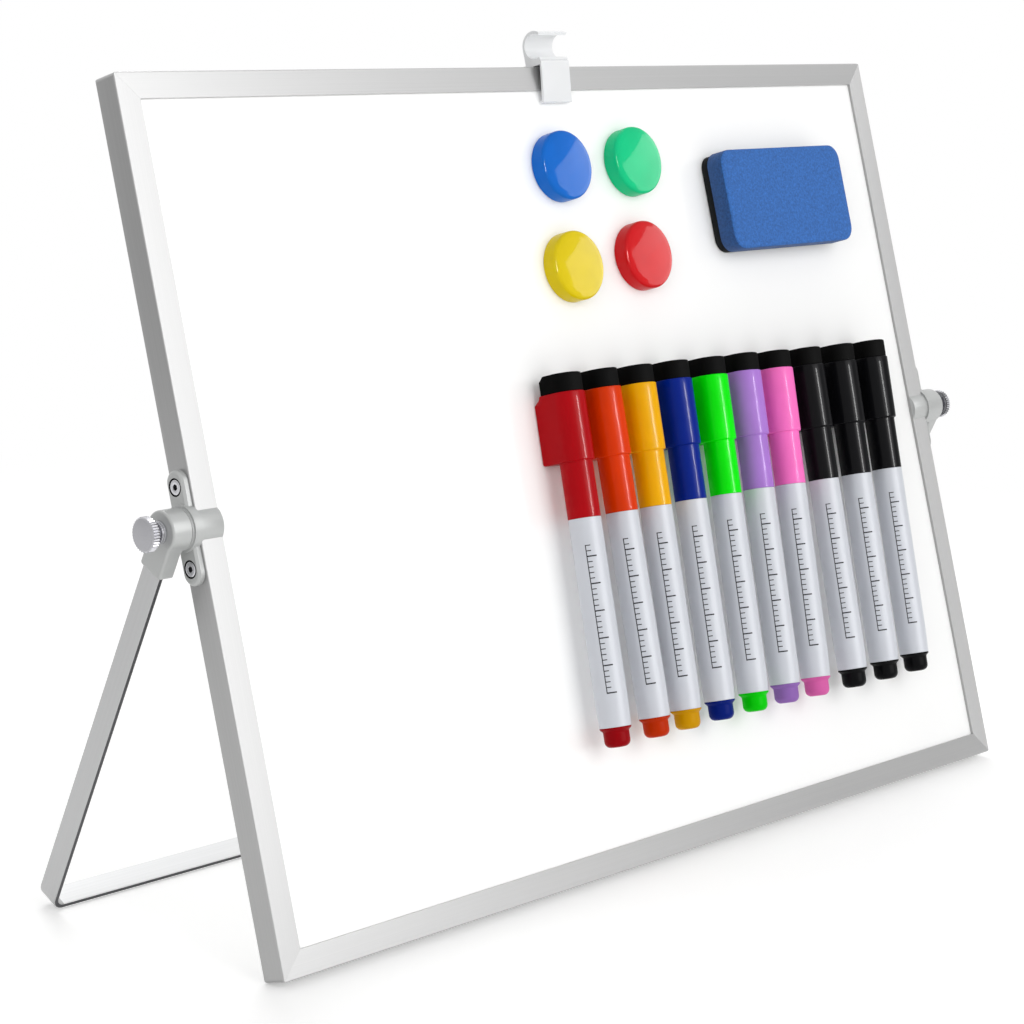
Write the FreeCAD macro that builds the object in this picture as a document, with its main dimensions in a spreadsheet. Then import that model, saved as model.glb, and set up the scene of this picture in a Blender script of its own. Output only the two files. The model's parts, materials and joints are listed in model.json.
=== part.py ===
"""A magnetic desk whiteboard on a folding U stand, with its clip, magnets, eraser and markers.

The board leans back on its lower edge. The stand swings about a horizontal axis at the
board's middle height. Lengths are millimetres. X runs along the board, Y to the back, Z up.
"""
import FreeCAD, Part
import math
import os
from types import SimpleNamespace

import Sketcher
from FreeCAD import Placement, Rotation, Vector

SHEET_ROWS = (
    # board
    ("board_width", 400.0, "outer width of the frame"),
    ("board_height", 300.0, "outer height of the frame"),
    ("board_depth", 10.3, "thickness of the frame"),
    ("board_lean", 17.4, "lean of the board from upright, degrees"),
    # frame rails
    ("rail_face", 9.15, "width of a rail's face"),
    ("rail_lip", 1.2, "front and back lips that hold the panel"),
    ("rail_web", 1.2, "outer wall of a rail"),
    ("rail_rib", 1.1, "wall between the panel slot and the key channel"),
    ("rail_slot", 4.2, "depth of the panel slot"),
    ("rail_edge_round", 0.6, "rounding of a rail's outer edges"),
    ("frame_corner_round", 1.6, "rounding of the frame's four corners"),
    ("sheet_thickness", 0.4, "coated steel writing sheet"),
    ("panel_play", 0.15, "gap between the panel and the rib"),
    ("key_leg", 24.0, "length of a corner key's leg"),
    ("key_play", 0.12, "gap round a corner key"),
    # pivot
    ("pivot_height", 150.4, "height of the pivot up the board"),
    ("barrel_radius", 7.1, "barrel that goes round the rail"),
    ("barrel_end", 4.0, "barrel's end, out from the frame's side"),
    ("collar_radius", 7.9, "collar where the barrel meets its plate"),
    ("collar_height", 0.8, "collar's height over the plate"),
    ("plate_length", 38.2, "oblong plate screwed to the rail"),
    ("plate_width", 8.6, "oblong plate"),
    ("plate_thickness", 2.5, "oblong plate"),
    ("plate_chamfer", 0.8, "chamfer round the plate"),
    ("spigot_radius", 4.5, "spigot that the hub turns on"),
    ("spigot_length", 1.6, "spigot that the hub turns on"),
    ("running_clearance", 0.06, "radial play of a turning fit"),
    ("hub_gap", 0.2, "parting gap between barrel and hub"),
    ("insert_radius", 3.2, "threaded insert"),
    ("insert_length", 6.4, "threaded insert"),
    ("insert_flush", 0.5, "insert's end, below the barrel's end"),
    ("seat_play", 0.02, "play of a seated piece"),
    ("screw_pitch", 27.0, "distance between a bracket's two screws"),
    ("screw_head_radius", 2.9, "bracket screw's head"),
    ("screw_head_height", 1.7, "bracket screw's head"),
    ("screw_head_gap", 0.15, "gap round a screw head"),
    ("screw_radius", 1.5, "bracket screw's shank"),
    ("screw_length", 6.0, "bracket screw's whole length"),
    ("screw_socket", 1.15, "hex socket's corner radius"),
    ("screw_socket_depth", 1.0, "hex socket"),
    # stand
    ("leg_lean", 24.4, "lean of the stand from upright, degrees"),
    ("leg_width", 8.9, "width of the flat bar"),
    ("bar_thickness", 1.9, "thickness of the flat bar"),
    ("bar_edge_round", 0.4, "rounding of the bar's long edges"),
    ("leg_standoff", 10.9, "leg's outer face, out from the frame's side"),
    ("leg_offset", 0.8, "leg's centre line, in front of the pivot axis"),
    ("leg_bend_radius", 5.0, "outer radius of the stand's bends"),
    ("leg_top", 5.4, "leg's upper end, below the pivot axis"),
    ("hub_end", 11.8, "hub's face, out from the frame's side"),
    ("hub_edge_round", 1.0, "rounding of the hub's face edge"),
    ("boot_length", 15.2, "boot's end, below the pivot axis"),
    ("boot_width", 11.0, "boot across the leg"),
    ("boot_thickness", 5.5, "boot along the pivot axis"),
    ("boot_corner_round", 1.3, "boot's lower corners"),
    ("boot_blend", 1.6, "fillet between the boot and the hub"),
    # thumbscrew
    ("washer_radius", 3.9, "washer under the thumbscrew"),
    ("washer_thickness", 0.9, "washer under the thumbscrew"),
    ("washer_gap", 0.05, "gap at each face of a washer"),
    ("collar_step_radius", 3.3, "thumbscrew's plain collar"),
    ("collar_step_length", 2.2, "thumbscrew's plain collar"),
    ("knob_radius", 5.95, "thumbscrew's knurled head"),
    ("knob_thickness", 2.9, "thumbscrew's knurled head"),
    ("knob_edge", 0.35, "thumbscrew head's chamfer"),
    ("knurl_depth", 0.5, "knurl groove"),
    ("knurl_half_width", 0.5, "knurl groove"),
    ("knurl_count", 24, "knurl grooves"),
    ("shank_radius", 2.0, "thumbscrew's shank"),
    ("shank_reach", 15.6, "shank, from the hub's face inwards"),
    # pen clip
    ("clip_width", 15.3, "length of the clip along the rail"),
    ("clip_place", 6.0, "clip's middle, right of the board's middle"),
    ("clip_wall", 1.1, "thickness of the clip's strip"),
    ("clip_play", 0.25, "gap between the clip and the rail"),
    ("clip_drop", 14.0, "clip's front plate below the frame's top"),
    ("clip_back_drop", 12.0, "clip's back plate below the frame's top"),
    ("clip_bow", 2.4, "front plate's stand-off at its top"),
    ("clip_hook", 0.7, "inward hook of the front plate's end"),
    ("clip_edge_round", 0.4, "small roundings of the clip"),
    ("clip_bore_radius", 4.7, "pen ring's bore"),
    ("clip_mouth_top", 48.0, "upper end of the ring's mouth above level, degrees"),
    ("clip_mouth_bottom", 68.0, "lower end of the ring's mouth below level, degrees"),
    ("clip_ring_front", 1.2, "pen ring's centre, in front of the frame's front face"),
    ("clip_ring_up", 7.4, "pen ring's centre, above the frame's top"),
    # round magnets
    ("magnet_radius", 13.2, "round magnet's cap"),
    ("magnet_height", 6.7, "round magnet's side wall"),
    ("magnet_crown", 1.0, "rise of the magnet's crowned face"),
    ("magnet_edge_round", 2.0, "magnet cap's rim"),
    ("disc_radius", 10.0, "ferrite disc in the magnet"),
    ("disc_height", 4.0, "ferrite disc in the magnet"),
    ("contact_gap", 0.05, "gap between what a magnet holds and the sheet"),
    # eraser
    ("eraser_width", 76.5, "eraser along the board"),
    ("eraser_height", 40.0, "eraser up the board"),
    ("eraser_corner", 6.0, "eraser's corners"),
    ("felt_thickness", 3.5, "eraser's felt"),
    ("felt_margin", 0.5, "felt's edge inside the foam's edge"),
    ("foam_thickness", 8.0, "eraser's foam"),
    ("foam_edge_round", 0.9, "foam's front edge"),
    ("strip_width", 60.0, "eraser's magnet strip"),
    ("strip_height", 20.0, "eraser's magnet strip"),
    ("strip_thickness", 1.5, "eraser's magnet strip"),
    # markers
    ("marker_axis_height", 9.4, "marker's axis, in front of the frame's face"),
    ("tail_length", 7.4, "tail plug"),
    ("tail_radius", 4.8, "tail plug"),
    ("tail_lip", 0.5, "tail plug's lip against the barrel"),
    ("tail_round", 2.6, "tail plug's end"),
    ("barrel_length", 76.8, "white barrel of a marker"),
    ("marker_radius", 6.1, "white barrel of a marker"),
    ("barrel_foot_radius", 5.85, "barrel at its lower end"),
    ("barrel_foot_length", 9.0, "taper at the barrel's lower end"),
    ("cap_radius", 6.1, "cap's lower, round part"),
    ("cap_round_length", 20.8, "cap's lower, round part"),
    ("cap_half_width", 6.95, "cap's upper part with the magnet fin"),
    ("cap_fin_length", 25.6, "cap's upper part with the magnet fin"),
    ("cap_fin_chamfer", 3.2, "slope at the top of the fin's back"),
    ("cap_fin_round", 0.7, "rounding under the cap's upper part"),
    ("tip_length", 7.0, "eraser tip on the cap"),
    ("tip_inset", 0.4, "eraser tip's side, inside the cap's side"),
    ("tip_back_inset", 3.5, "eraser tip's back, in front of the fin's back"),
    ("tip_slope", 2.0, "slope at the top of the tip's back"),
    ("tip_edge_round", 0.6, "eraser tip's top edge"),
    ("neck_radius", 5.0, "barrel's neck inside the cap"),
    ("neck_length", 8.0, "barrel's neck inside the cap"),
    ("neck_clearance", 0.09, "radial play of the neck in the cap"),
    ("cap_bore_depth", 30.0, "cap's bore"),
    ("cone_radius", 3.4, "nib holder"),
    ("cone_tip_radius", 2.2, "nib holder's end"),
    ("cone_length", 9.0, "nib holder"),
    ("nib_radius", 1.5, "nib"),
    ("nib_length", 6.5, "nib out of its holder"),
    ("cap_magnet_width", 8.0, "magnet in the cap's fin"),
    ("cap_magnet_length", 17.0, "magnet in the cap's fin"),
    ("cap_magnet_thickness", 1.5, "magnet in the cap's fin"),
    # making
    ("overrun", 1.0, "how far a cut goes past the solid"),
)

# middles of what lies on the board, as shares of its width, from its middle, and of its height
MAGNET_PLACE_SHARES = {
    "blue": (0.0015, 0.8710),
    "green": (0.1025, 0.8725),
    "yellow": (-0.0080, 0.7440),
    "red": (0.0922, 0.7500),
}
ERASER_PLACE_SHARES = (0.3053, 0.8107)

# the markers also have a lean, in degrees
MARKER_PLACE_SHARES = {
    "red": (-0.0790, 0.3937, 3.3),
    "orange": (-0.0274, 0.3928, 2.5),
    "yellow": (0.0196, 0.3917, 3.4),
    "blue": (0.0703, 0.3912, 3.9),
    "green": (0.1223, 0.3898, 4.4),
    "purple": (0.1722, 0.3893, 4.8),
    "pink": (0.2213, 0.3872, 5.2),
    "black_1": (0.2758, 0.3855, 3.4),
    "black_2": (0.3296, 0.3842, 3.6),
    "black_3": (0.3818, 0.3837, 3.8),
}


class Size(float):
    """A number that carries the formula that gives it from the sheet."""

    def __new__(cls, value, formula):
        made = super().__new__(cls, value)
        made.formula = formula
        return made

    def __add__(self, other):
        return joined(self, "+", other, float(self) + float(other))

    def __radd__(self, other):
        return joined(other, "+", self, float(other) + float(self))

    def __sub__(self, other):
        return joined(self, "-", other, float(self) - float(other))

    def __rsub__(self, other):
        return joined(other, "-", self, float(other) - float(self))

    def __mul__(self, other):
        return joined(self, "*", other, float(self) * float(other))

    def __rmul__(self, other):
        return joined(other, "*", self, float(other) * float(self))

    def __truediv__(self, other):
        return joined(self, "/", other, float(self) / float(other))

    def __neg__(self):
        return joined(0.0, "-", self, -float(self))


def formula_of(value):
    return value.formula if isinstance(value, Size) else "%r" % float(value)


def joined(left, sign, right, value):
    return Size(value, "(%s %s %s)" % (formula_of(left), sign, formula_of(right)))


def sine(angle):
    return Size(math.sin(math.radians(angle)), "sin(%s * 1deg)" % formula_of(angle))


def cosine(angle):
    return Size(math.cos(math.radians(angle)), "cos(%s * 1deg)" % formula_of(angle))


doc = FreeCAD.newDocument("desk_whiteboard_easel")
sheet = doc.addObject("Spreadsheet::Sheet", "sizes")
for row, (alias, value, meaning) in enumerate(SHEET_ROWS, start=1):
    sheet.set("A%d" % row, meaning)
    sheet.set("B%d" % row, str(value))
    sheet.setAlias("B%d" % row, alias)
s = SimpleNamespace(**{alias: Size(value, "sizes." + alias) for alias, value, meaning in SHEET_ROWS})
doc.recompute()

X_AXIS = Vector(1, 0, 0)
Y_AXIS = Vector(0, 1, 0)
Z_AXIS = Vector(0, 0, 1)

nodes = {}


def keep(name, thing):
    """Name the object after its file and list it as a sub-part."""
    thing.Label = name
    nodes[name] = thing
    return thing


def bind(thing, path, value):
    """Give a property its value and tie it to the sheet."""
    if isinstance(value, Size):
        thing.setExpression(path, value.formula)


def put_at(thing, x=0.0, y=0.0, z=0.0, turn=None):
    """Place a primitive in its own sub-part's frame."""
    thing.Placement = Placement(Vector(x, y, z), turn or Rotation())
    for letter, value in zip("xyz", (x, y, z)):
        bind(thing, "Placement.Base." + letter, value)
    return thing


def box(name, corner, size):
    made = doc.addObject("Part::Box", name)
    for prop, value in zip(("Length", "Width", "Height"), size):
        setattr(made, prop, float(value))
        bind(made, prop, value)
    return put_at(made, *corner)


def cylinder(name, radius, height, x=0.0, y=0.0, z=0.0, turn=None):
    made = doc.addObject("Part::Cylinder", name)
    made.Radius = float(radius)
    made.Height = float(height)
    bind(made, "Radius", radius)
    bind(made, "Height", height)
    return put_at(made, x, y, z, turn)


def cut(name, base, tool):
    made = doc.addObject("Part::Cut", name)
    made.Base = base
    made.Tool = tool
    return made


def group(name, pieces):
    made = doc.addObject("Part::Compound", name)
    made.Links = pieces
    return made


class Arc:
    """Joins two points of an outline by a circular arc."""

    def __init__(self, centre, middle):
        self.centre = centre
        self.middle = middle


def point(pair):
    return Vector(float(pair[0]), float(pair[1]), 0)


def draw_loop(sketch, loop):
    """Draw one closed outline of lines and arcs, with every corner tied to the sheet."""
    corners = [entry for entry in loop if not isinstance(entry, Arc)]
    arcs = {}
    seen = 0
    for entry in loop:
        if isinstance(entry, Arc):
            arcs[seen - 1] = entry
        else:
            seen += 1
    count = len(corners)
    ends = []
    for index, start in enumerate(corners):
        finish = corners[(index + 1) % count]
        arc = arcs.get(index)
        if arc is None:
            edge = sketch.addGeometry(Part.LineSegment(point(start), point(finish)), False)
        else:
            edge = sketch.addGeometry(Part.Arc(point(start), point(arc.middle), point(finish)), False)
        first_is_start = (sketch.getPoint(edge, 1) - point(start)).Length < \
                         (sketch.getPoint(edge, 2) - point(start)).Length
        ends.append((edge, 1, 2) if first_is_start else (edge, 2, 1))
    for index, (edge, near, far) in enumerate(ends):
        following = ends[(index + 1) % count]
        sketch.addConstraint(Sketcher.Constraint("Coincident", edge, far, following[0], following[1]))
    for (edge, near, far), corner in zip(ends, corners):
        for kind, value in (("DistanceX", corner[0]), ("DistanceY", corner[1])):
            index = sketch.addConstraint(Sketcher.Constraint(kind, -1, 1, edge, near, float(value)))
            bind(sketch, "Constraints[%d]" % index, value)
    for index, arc in arcs.items():
        chord = point(corners[(index + 1) % count]) - point(corners[index])
        upright = abs(chord.y) > abs(chord.x)
        kind = "DistanceX" if upright else "DistanceY"
        value = arc.centre[0] if upright else arc.centre[1]
        place = sketch.addConstraint(Sketcher.Constraint(kind, -1, 1, ends[index][0], 3, float(value)))
        bind(sketch, "Constraints[%d]" % place, value)


def draw_circle(sketch, x, y, radius):
    edge = sketch.addGeometry(Part.Circle(point((x, y)), Z_AXIS, float(radius)), False)
    for kind, value in (("DistanceX", x), ("DistanceY", y)):
        index = sketch.addConstraint(Sketcher.Constraint(kind, -1, 1, edge, 3, float(value)))
        bind(sketch, "Constraints[%d]" % index, value)
    index = sketch.addConstraint(Sketcher.Constraint("Radius", edge, float(radius)))
    bind(sketch, "Constraints[%d]" % index, radius)


def sketch_on(body, name, role, loops=(), circles=(), lift=0.0):
    """A sketch on one of the body's own origin planes, lifted along its normal."""
    made = body.newObject("Sketcher::SketchObject", name)
    plane = [part for part in body.Origin.OriginFeatures if part.Role == role][0]
    made.AttachmentSupport = [(plane, "")]
    made.MapMode = "FlatFace"
    made.AttachmentOffset = Placement(Vector(0, 0, lift), Rotation())
    bind(made, "AttachmentOffset.Base.z", lift)
    for loop in loops:
        draw_loop(made, loop)
    for circle in circles:
        draw_circle(made, *circle)
    return made


def new_body(name):
    return doc.addObject("PartDesign::Body", name)


def pad(body, sketch, length, middle=False):
    made = body.newObject("PartDesign::Pad", sketch.Name + "_pad")
    made.Profile = sketch
    made.Length = float(length)
    bind(made, "Length", length)
    made.Midplane = middle
    sketch.Visibility = False
    return made


def pocket(body, sketch, length, middle=False, upwards=False):
    made = body.newObject("PartDesign::Pocket", sketch.Name + "_cut")
    made.Profile = sketch
    made.Length = float(length)
    bind(made, "Length", length)
    made.Midplane = middle
    made.Reversed = upwards
    return made


def revolve(body, sketch):
    """Turn a profile drawn at one side of the sketch's upright axis."""
    made = body.newObject("PartDesign::Revolution", sketch.Name + "_turned")
    made.Profile = sketch
    made.ReferenceAxis = (sketch, ["V_Axis"])
    made.Angle = 360.0
    return made


def edges_where(feature, test):
    """Names of the feature's edges whose middle point and length pass the test."""
    doc.recompute()
    names = []
    for index, edge in enumerate(feature.Shape.Edges, start=1):
        middle = edge.valueAt((edge.FirstParameter + edge.LastParameter) / 2)
        if test(edge, middle):
            names.append("Edge%d" % index)
    return names


def dress(body, kind, feature, size, test):
    """A fillet or a chamfer on the edges that pass the test."""
    names = edges_where(feature, test)
    made = body.newObject("PartDesign::" + kind, feature.Name + "_" + kind.lower())
    made.Base = (feature, names)
    prop = "Radius" if kind == "Fillet" else "Size"
    setattr(made, prop, float(size))
    bind(made, prop, size)
    return made


def near(value, target):
    return abs(float(value) - float(target)) < 0.01


def along(edge, axis):
    """True where a straight edge runs along the axis."""
    if not isinstance(edge.Curve, Part.Line):
        return False
    return abs(edge.tangentAt(edge.FirstParameter).dot(axis)) > 0.999


def rectangle(x_low, y_low, x_high, y_high):
    return [(x_low, y_low), (x_high, y_low), (x_high, y_high), (x_low, y_high)]


def rounded_rectangle(x_low, y_low, x_high, y_high, radius):
    """A rectangle whose corners are quarter circles."""
    share = 1.0 - math.sqrt(0.5)
    return [
        (x_low + radius, y_low), (x_high - radius, y_low),
        Arc((x_high - radius, y_low + radius), (x_high - radius * share, y_low + radius * share)),
        (x_high, y_low + radius), (x_high, y_high - radius),
        Arc((x_high - radius, y_high - radius), (x_high - radius * share, y_high - radius * share)),
        (x_high - radius, y_high), (x_low + radius, y_high),
        Arc((x_low + radius, y_high - radius), (x_low + radius * share, y_high - radius * share)),
        (x_low, y_high - radius), (x_low, y_low + radius),
        Arc((x_low + radius, y_low + radius), (x_low + radius * share, y_low + radius * share)),
    ]


# frames of the board, the pivots and the stand
half_width = s.board_width / 2
half_height = s.board_height / 2
half_depth = s.board_depth / 2
lean_sine = sine(s.board_lean)
lean_cosine = cosine(s.board_lean)
leg_sine = sine(s.leg_lean)
leg_cosine = cosine(s.leg_lean)


def rounding_lift(radius, turn_sine, turn_cosine):
    """How far a rounded edge stays above where the sharp edge would reach."""
    return radius * (turn_sine + turn_cosine - 1)


board_origin_z = s.board_depth * lean_sine - rounding_lift(s.rail_edge_round, lean_sine, lean_cosine)
pivot_up = s.pivot_height * lean_cosine - half_depth * lean_sine + board_origin_z
pivot_back = s.pivot_height * lean_sine + half_depth * lean_cosine
bar_front = s.leg_width / 2 + s.leg_offset
leg_length = (pivot_up - bar_front * leg_sine
              + rounding_lift(s.bar_edge_round, leg_sine, leg_cosine)) / leg_cosine
board_frame = Placement(Vector(0, 0, board_origin_z), Rotation(X_AXIS, -s.board_lean))
stand_frame = Placement(Vector(0, pivot_back, pivot_up), Rotation(X_AXIS, s.leg_lean))


def place_on(thing, frame, x=0.0, y=0.0, z=0.0, turn=None):
    """Place a finished sub-part by coordinates of the board's or the stand's frame."""
    thing.Placement = frame * Placement(Vector(x, y, z), turn or Rotation())


def side_turn(side):
    """Turn local Z outwards at the left (-1) or the right (+1) side."""
    return Rotation(Y_AXIS, 90 * side)


# frame rails
chamber_inner = s.rail_face - s.rail_slot - s.rail_rib
panel_edge = s.rail_face - s.rail_slot + s.panel_play


def rail(name, length):
    """A mitred rail along X, its outer face at z = 0 and its inner edge below."""
    body = new_body(name)
    far_lip = s.board_depth - s.rail_lip
    section = sketch_on(body, name + "_section", "YZ_Plane", loops=[
        [(0.0, 0.0), (s.board_depth, 0.0), (s.board_depth, -s.rail_face), (far_lip, -s.rail_face),
         (far_lip, s.rail_slot - s.rail_face), (s.rail_lip, s.rail_slot - s.rail_face),
         (s.rail_lip, -s.rail_face), (0.0, -s.rail_face)],
        rectangle(s.rail_lip, -chamber_inner, far_lip, -s.rail_web)])
    bar = pad(body, section, length, middle=True)
    rounded = dress(body, "Fillet", bar, s.rail_edge_round,
                    lambda edge, middle: along(edge, X_AXIS) and near(middle.z, 0)
                    and (near(middle.y, 0) or near(middle.y, s.board_depth)))
    tip = s.frame_corner_round * (1.0 - math.sqrt(0.5))
    arc_share = 1.0 - math.cos(math.radians(22.5))
    arc_side = 1.0 - math.sin(math.radians(22.5))
    past = s.rail_face + s.overrun
    loops = []
    for side in (1, -1):
        end = length / 2
        corner = s.frame_corner_round
        loops.append([
            (side * (end - corner), 0.0),
            Arc((side * (end - corner), -corner),
                (side * (end - corner * arc_side), -corner * arc_share)),
            (side * (end - tip), -tip),
            (side * (end - past), -past),
            (side * (end + s.overrun), -past),
            (side * (end + s.overrun), s.overrun),
            (side * (end - corner), s.overrun)])
    ends = sketch_on(body, name + "_ends", "XZ_Plane", loops=loops, lift=s.overrun)
    pocket(body, ends, s.board_depth + s.overrun * 2)
    return body


def round_holes(body, name, circles, depth, top):
    """Cut round holes down from the given height."""
    holes = sketch_on(body, name, "XY_Plane", circles=circles, lift=top)
    return pocket(body, holes, depth)


def side_rail(name, side):
    """A side rail with its bracket's screw holes and insert hole."""
    body = rail(name, s.board_height)
    pivot_x = (half_height - s.pivot_height) * side
    depth = s.rail_web + s.overrun * 2
    circles = [(pivot_x + s.screw_pitch / 2 * end, half_depth, s.screw_radius + s.seat_play)
               for end in (-1, 1)]
    circles.append((pivot_x, half_depth, s.insert_radius + s.seat_play))
    round_holes(body, name + "_holes", circles, depth, s.overrun)
    return body


place_on(keep("rail_top", rail("rail_top", s.board_width)), board_frame, z=s.board_height)
place_on(keep("rail_bottom", rail("rail_bottom", s.board_width)), board_frame,
         turn=Rotation(Y_AXIS, 180))
place_on(keep("rail_left", side_rail("rail_left", -1)), board_frame,
         x=-half_width, z=half_height, turn=side_turn(-1))
place_on(keep("rail_right", side_rail("rail_right", 1)), board_frame,
         x=half_width, z=half_height, turn=side_turn(1))

# panel
panel_width = s.board_width - panel_edge * 2
panel_height = s.board_height - panel_edge * 2
core_thickness = s.board_depth - (s.rail_lip + s.sheet_thickness) * 2


def panel_layer(name, thickness, depth):
    place_on(keep(name, box(name, (0.0, 0.0, 0.0), (panel_width, thickness, panel_height))),
             board_frame, x=-panel_width / 2, y=depth, z=panel_edge)


panel_layer("writing_sheet_front", s.sheet_thickness, s.rail_lip)
panel_layer("core_panel", core_thickness, s.rail_lip + s.sheet_thickness)
panel_layer("writing_sheet_back", s.sheet_thickness, s.board_depth - s.rail_lip - s.sheet_thickness)

# corner keys
key_outer_x = half_width - s.rail_web - s.key_play
key_outer_z = half_height - s.rail_web - s.key_play
key_thickness = chamber_inner - s.rail_web - s.key_play * 2
key_depth = s.board_depth - (s.rail_lip + s.key_play) * 2


def corner_key(index, side, rise):
    body = new_body("corner_key_%d" % index)
    outline = [(key_outer_x, key_outer_z), (key_outer_x - s.key_leg, key_outer_z),
               (key_outer_x - s.key_leg, key_outer_z - key_thickness),
               (key_outer_x - key_thickness, key_outer_z - key_thickness),
               (key_outer_x - key_thickness, key_outer_z - s.key_leg),
               (key_outer_x, key_outer_z - s.key_leg)]
    sketch = sketch_on(body, body.Name + "_outline", "XZ_Plane",
                       loops=[[(x * side, z * rise) for x, z in outline]])
    pad(body, sketch, key_depth, middle=True)
    return body


keys = [corner_key(index, side, rise) for index, (side, rise)
        in enumerate(((-1, -1), (1, -1), (1, 1), (-1, 1)), start=1)]
place_on(keep("corner_keys", group("corner_keys", keys)), board_frame, y=half_depth, z=half_height)

# brackets, inserts and screws, with Z outwards from the frame's side and X up or down the board
insert_top = s.barrel_end + s.spigot_length - s.insert_flush
insert_bottom = insert_top - s.insert_length


def slot_outline(length, width):
    """An oblong with half-round ends."""
    straight = (length - width) / 2
    return [(-straight, -width / 2), (straight, -width / 2),
            Arc((straight, 0.0), (length / 2, 0.0)),
            (straight, width / 2), (-straight, width / 2),
            Arc((-straight, 0.0), (-length / 2, 0.0))]


def bracket(name):
    body = new_body(name)
    plate = pad(body, sketch_on(body, name + "_plate", "XY_Plane",
                                loops=[slot_outline(s.plate_length, s.plate_width)]), s.plate_thickness)
    dress(body, "Chamfer", plate, s.plate_chamfer,
          lambda edge, middle: near(middle.z, s.plate_thickness) and not along(edge, Z_AXIS))
    barrel = sketch_on(body, name + "_barrel", "XY_Plane",
                       circles=[(0.0, 0.0, s.barrel_radius)], lift=-s.rail_face)
    pad(body, barrel, s.rail_face + s.barrel_end)
    collar = sketch_on(body, name + "_collar", "XY_Plane", circles=[(0.0, 0.0, s.collar_radius)])
    pad(body, collar, s.plate_thickness + s.collar_height)
    spigot = sketch_on(body, name + "_spigot", "XY_Plane",
                       circles=[(0.0, 0.0, s.spigot_radius)], lift=s.barrel_end)
    pad(body, spigot, s.spigot_length)
    past = s.barrel_radius + s.overrun
    rail_space = sketch_on(body, name + "_rail_space", "XY_Plane",
                           loops=[rectangle(-past, -half_depth, past, half_depth)])
    pocket(body, rail_space, s.rail_face + s.overrun)
    ends = [(s.screw_pitch / 2 * end, 0.0) for end in (-1, 1)]
    round_holes(body, name + "_screw_holes",
                [(x, y, s.screw_radius + s.seat_play) for x, y in ends],
                s.plate_thickness + s.overrun, s.plate_thickness)
    round_holes(body, name + "_head_seats",
                [(x, y, s.screw_head_radius + s.screw_head_gap) for x, y in ends],
                s.screw_head_height, s.plate_thickness)
    round_holes(body, name + "_insert_seat", [(0.0, 0.0, s.insert_radius + s.seat_play)],
                insert_top + s.overrun, insert_top)
    round_holes(body, name + "_shank_hole", [(0.0, 0.0, s.shank_radius + s.running_clearance)],
                insert_top + s.insert_flush + s.overrun, s.barrel_end + s.spigot_length)
    return body


def pivot_insert(side):
    name = "pivot_insert_%s" % ("left" if side < 0 else "right")
    made = cut(name, cylinder(name + "_outside", s.insert_radius, s.insert_length),
               cylinder(name + "_bore", s.shank_radius + s.running_clearance,
                        s.insert_length + s.overrun * 2, z=-s.overrun))
    made.Placement = Placement(Vector(half_width * side, 0, 0), side_turn(side)) \
        * Placement(Vector(0, 0, insert_bottom), Rotation())
    return made


def hexagon(radius):
    return [(radius * math.cos(math.radians(60 * corner)), radius * math.sin(math.radians(60 * corner)))
            for corner in range(6)]


def bracket_screw(name):
    """A socket-head screw, its head's top at z = 0."""
    body = new_body(name)
    profile = [(0.0, 0.0), (s.screw_head_radius, 0.0), (s.screw_head_radius, -s.screw_head_height),
               (s.screw_radius, -s.screw_head_height), (s.screw_radius, -s.screw_length),
               (0.0, -s.screw_length)]
    revolve(body, sketch_on(body, name + "_profile", "XZ_Plane", loops=[profile]))
    socket = sketch_on(body, name + "_socket", "XY_Plane", loops=[hexagon(s.screw_socket)])
    pocket(body, socket, s.screw_socket_depth)
    return body


inserts = [pivot_insert(side) for side in (-1, 1)]
place_on(keep("pivot_inserts", group("pivot_inserts", inserts)), board_frame,
         y=half_depth, z=s.pivot_height)
screws = []
for side in (-1, 1):
    word = "left" if side < 0 else "right"
    place_on(keep("bracket_" + word, bracket("bracket_" + word)), board_frame,
             x=half_width * side, y=half_depth, z=s.pivot_height, turn=side_turn(side))
    for end, place in ((-1, "low"), (1, "high")):
        screw = bracket_screw("screw_%s_%s" % (word, place))
        screw.Placement = Placement(Vector(half_width * side, 0, s.screw_pitch / 2 * end), Rotation()) \
            * Placement(Vector(), side_turn(side)) * Placement(Vector(0, 0, s.plate_thickness), Rotation())
        screws.append(screw)
place_on(keep("bracket_screws", group("bracket_screws", screws)), board_frame,
         y=half_depth, z=s.pivot_height)

# stand, with X along the pivot axis and Z up the legs
leg_face = half_width + s.leg_standoff
leg_inner = leg_face - s.bar_thickness


def stand_bar():
    body = new_body("stand_bar")
    inner_foot = leg_length - s.bar_thickness
    loop = [(-leg_face, -s.leg_top), (-leg_face, -leg_length), (leg_face, -leg_length),
            (leg_face, -s.leg_top),
            (leg_inner, -s.leg_top), (leg_inner, -inner_foot), (-leg_inner, -inner_foot),
            (-leg_inner, -s.leg_top)]
    bent = pad(body, sketch_on(body, "stand_outline", "XZ_Plane", loops=[loop]), s.leg_width, middle=True)
    outer = dress(body, "Fillet", bent, s.leg_bend_radius,
                  lambda edge, middle: along(edge, Y_AXIS) and near(abs(middle.x), leg_face)
                  and near(middle.z, -leg_length))
    inner = dress(body, "Fillet", outer, s.leg_bend_radius - s.bar_thickness,
                  lambda edge, middle: along(edge, Y_AXIS) and near(abs(middle.x), leg_inner)
                  and near(middle.z, -inner_foot))
    dress(body, "Fillet", inner, s.bar_edge_round,
          lambda edge, middle: near(abs(middle.y), s.leg_width / 2) and not near(middle.z, -s.leg_top))
    return body


place_on(keep("stand_bar", stand_bar()), stand_frame, y=-s.leg_offset)


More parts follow.
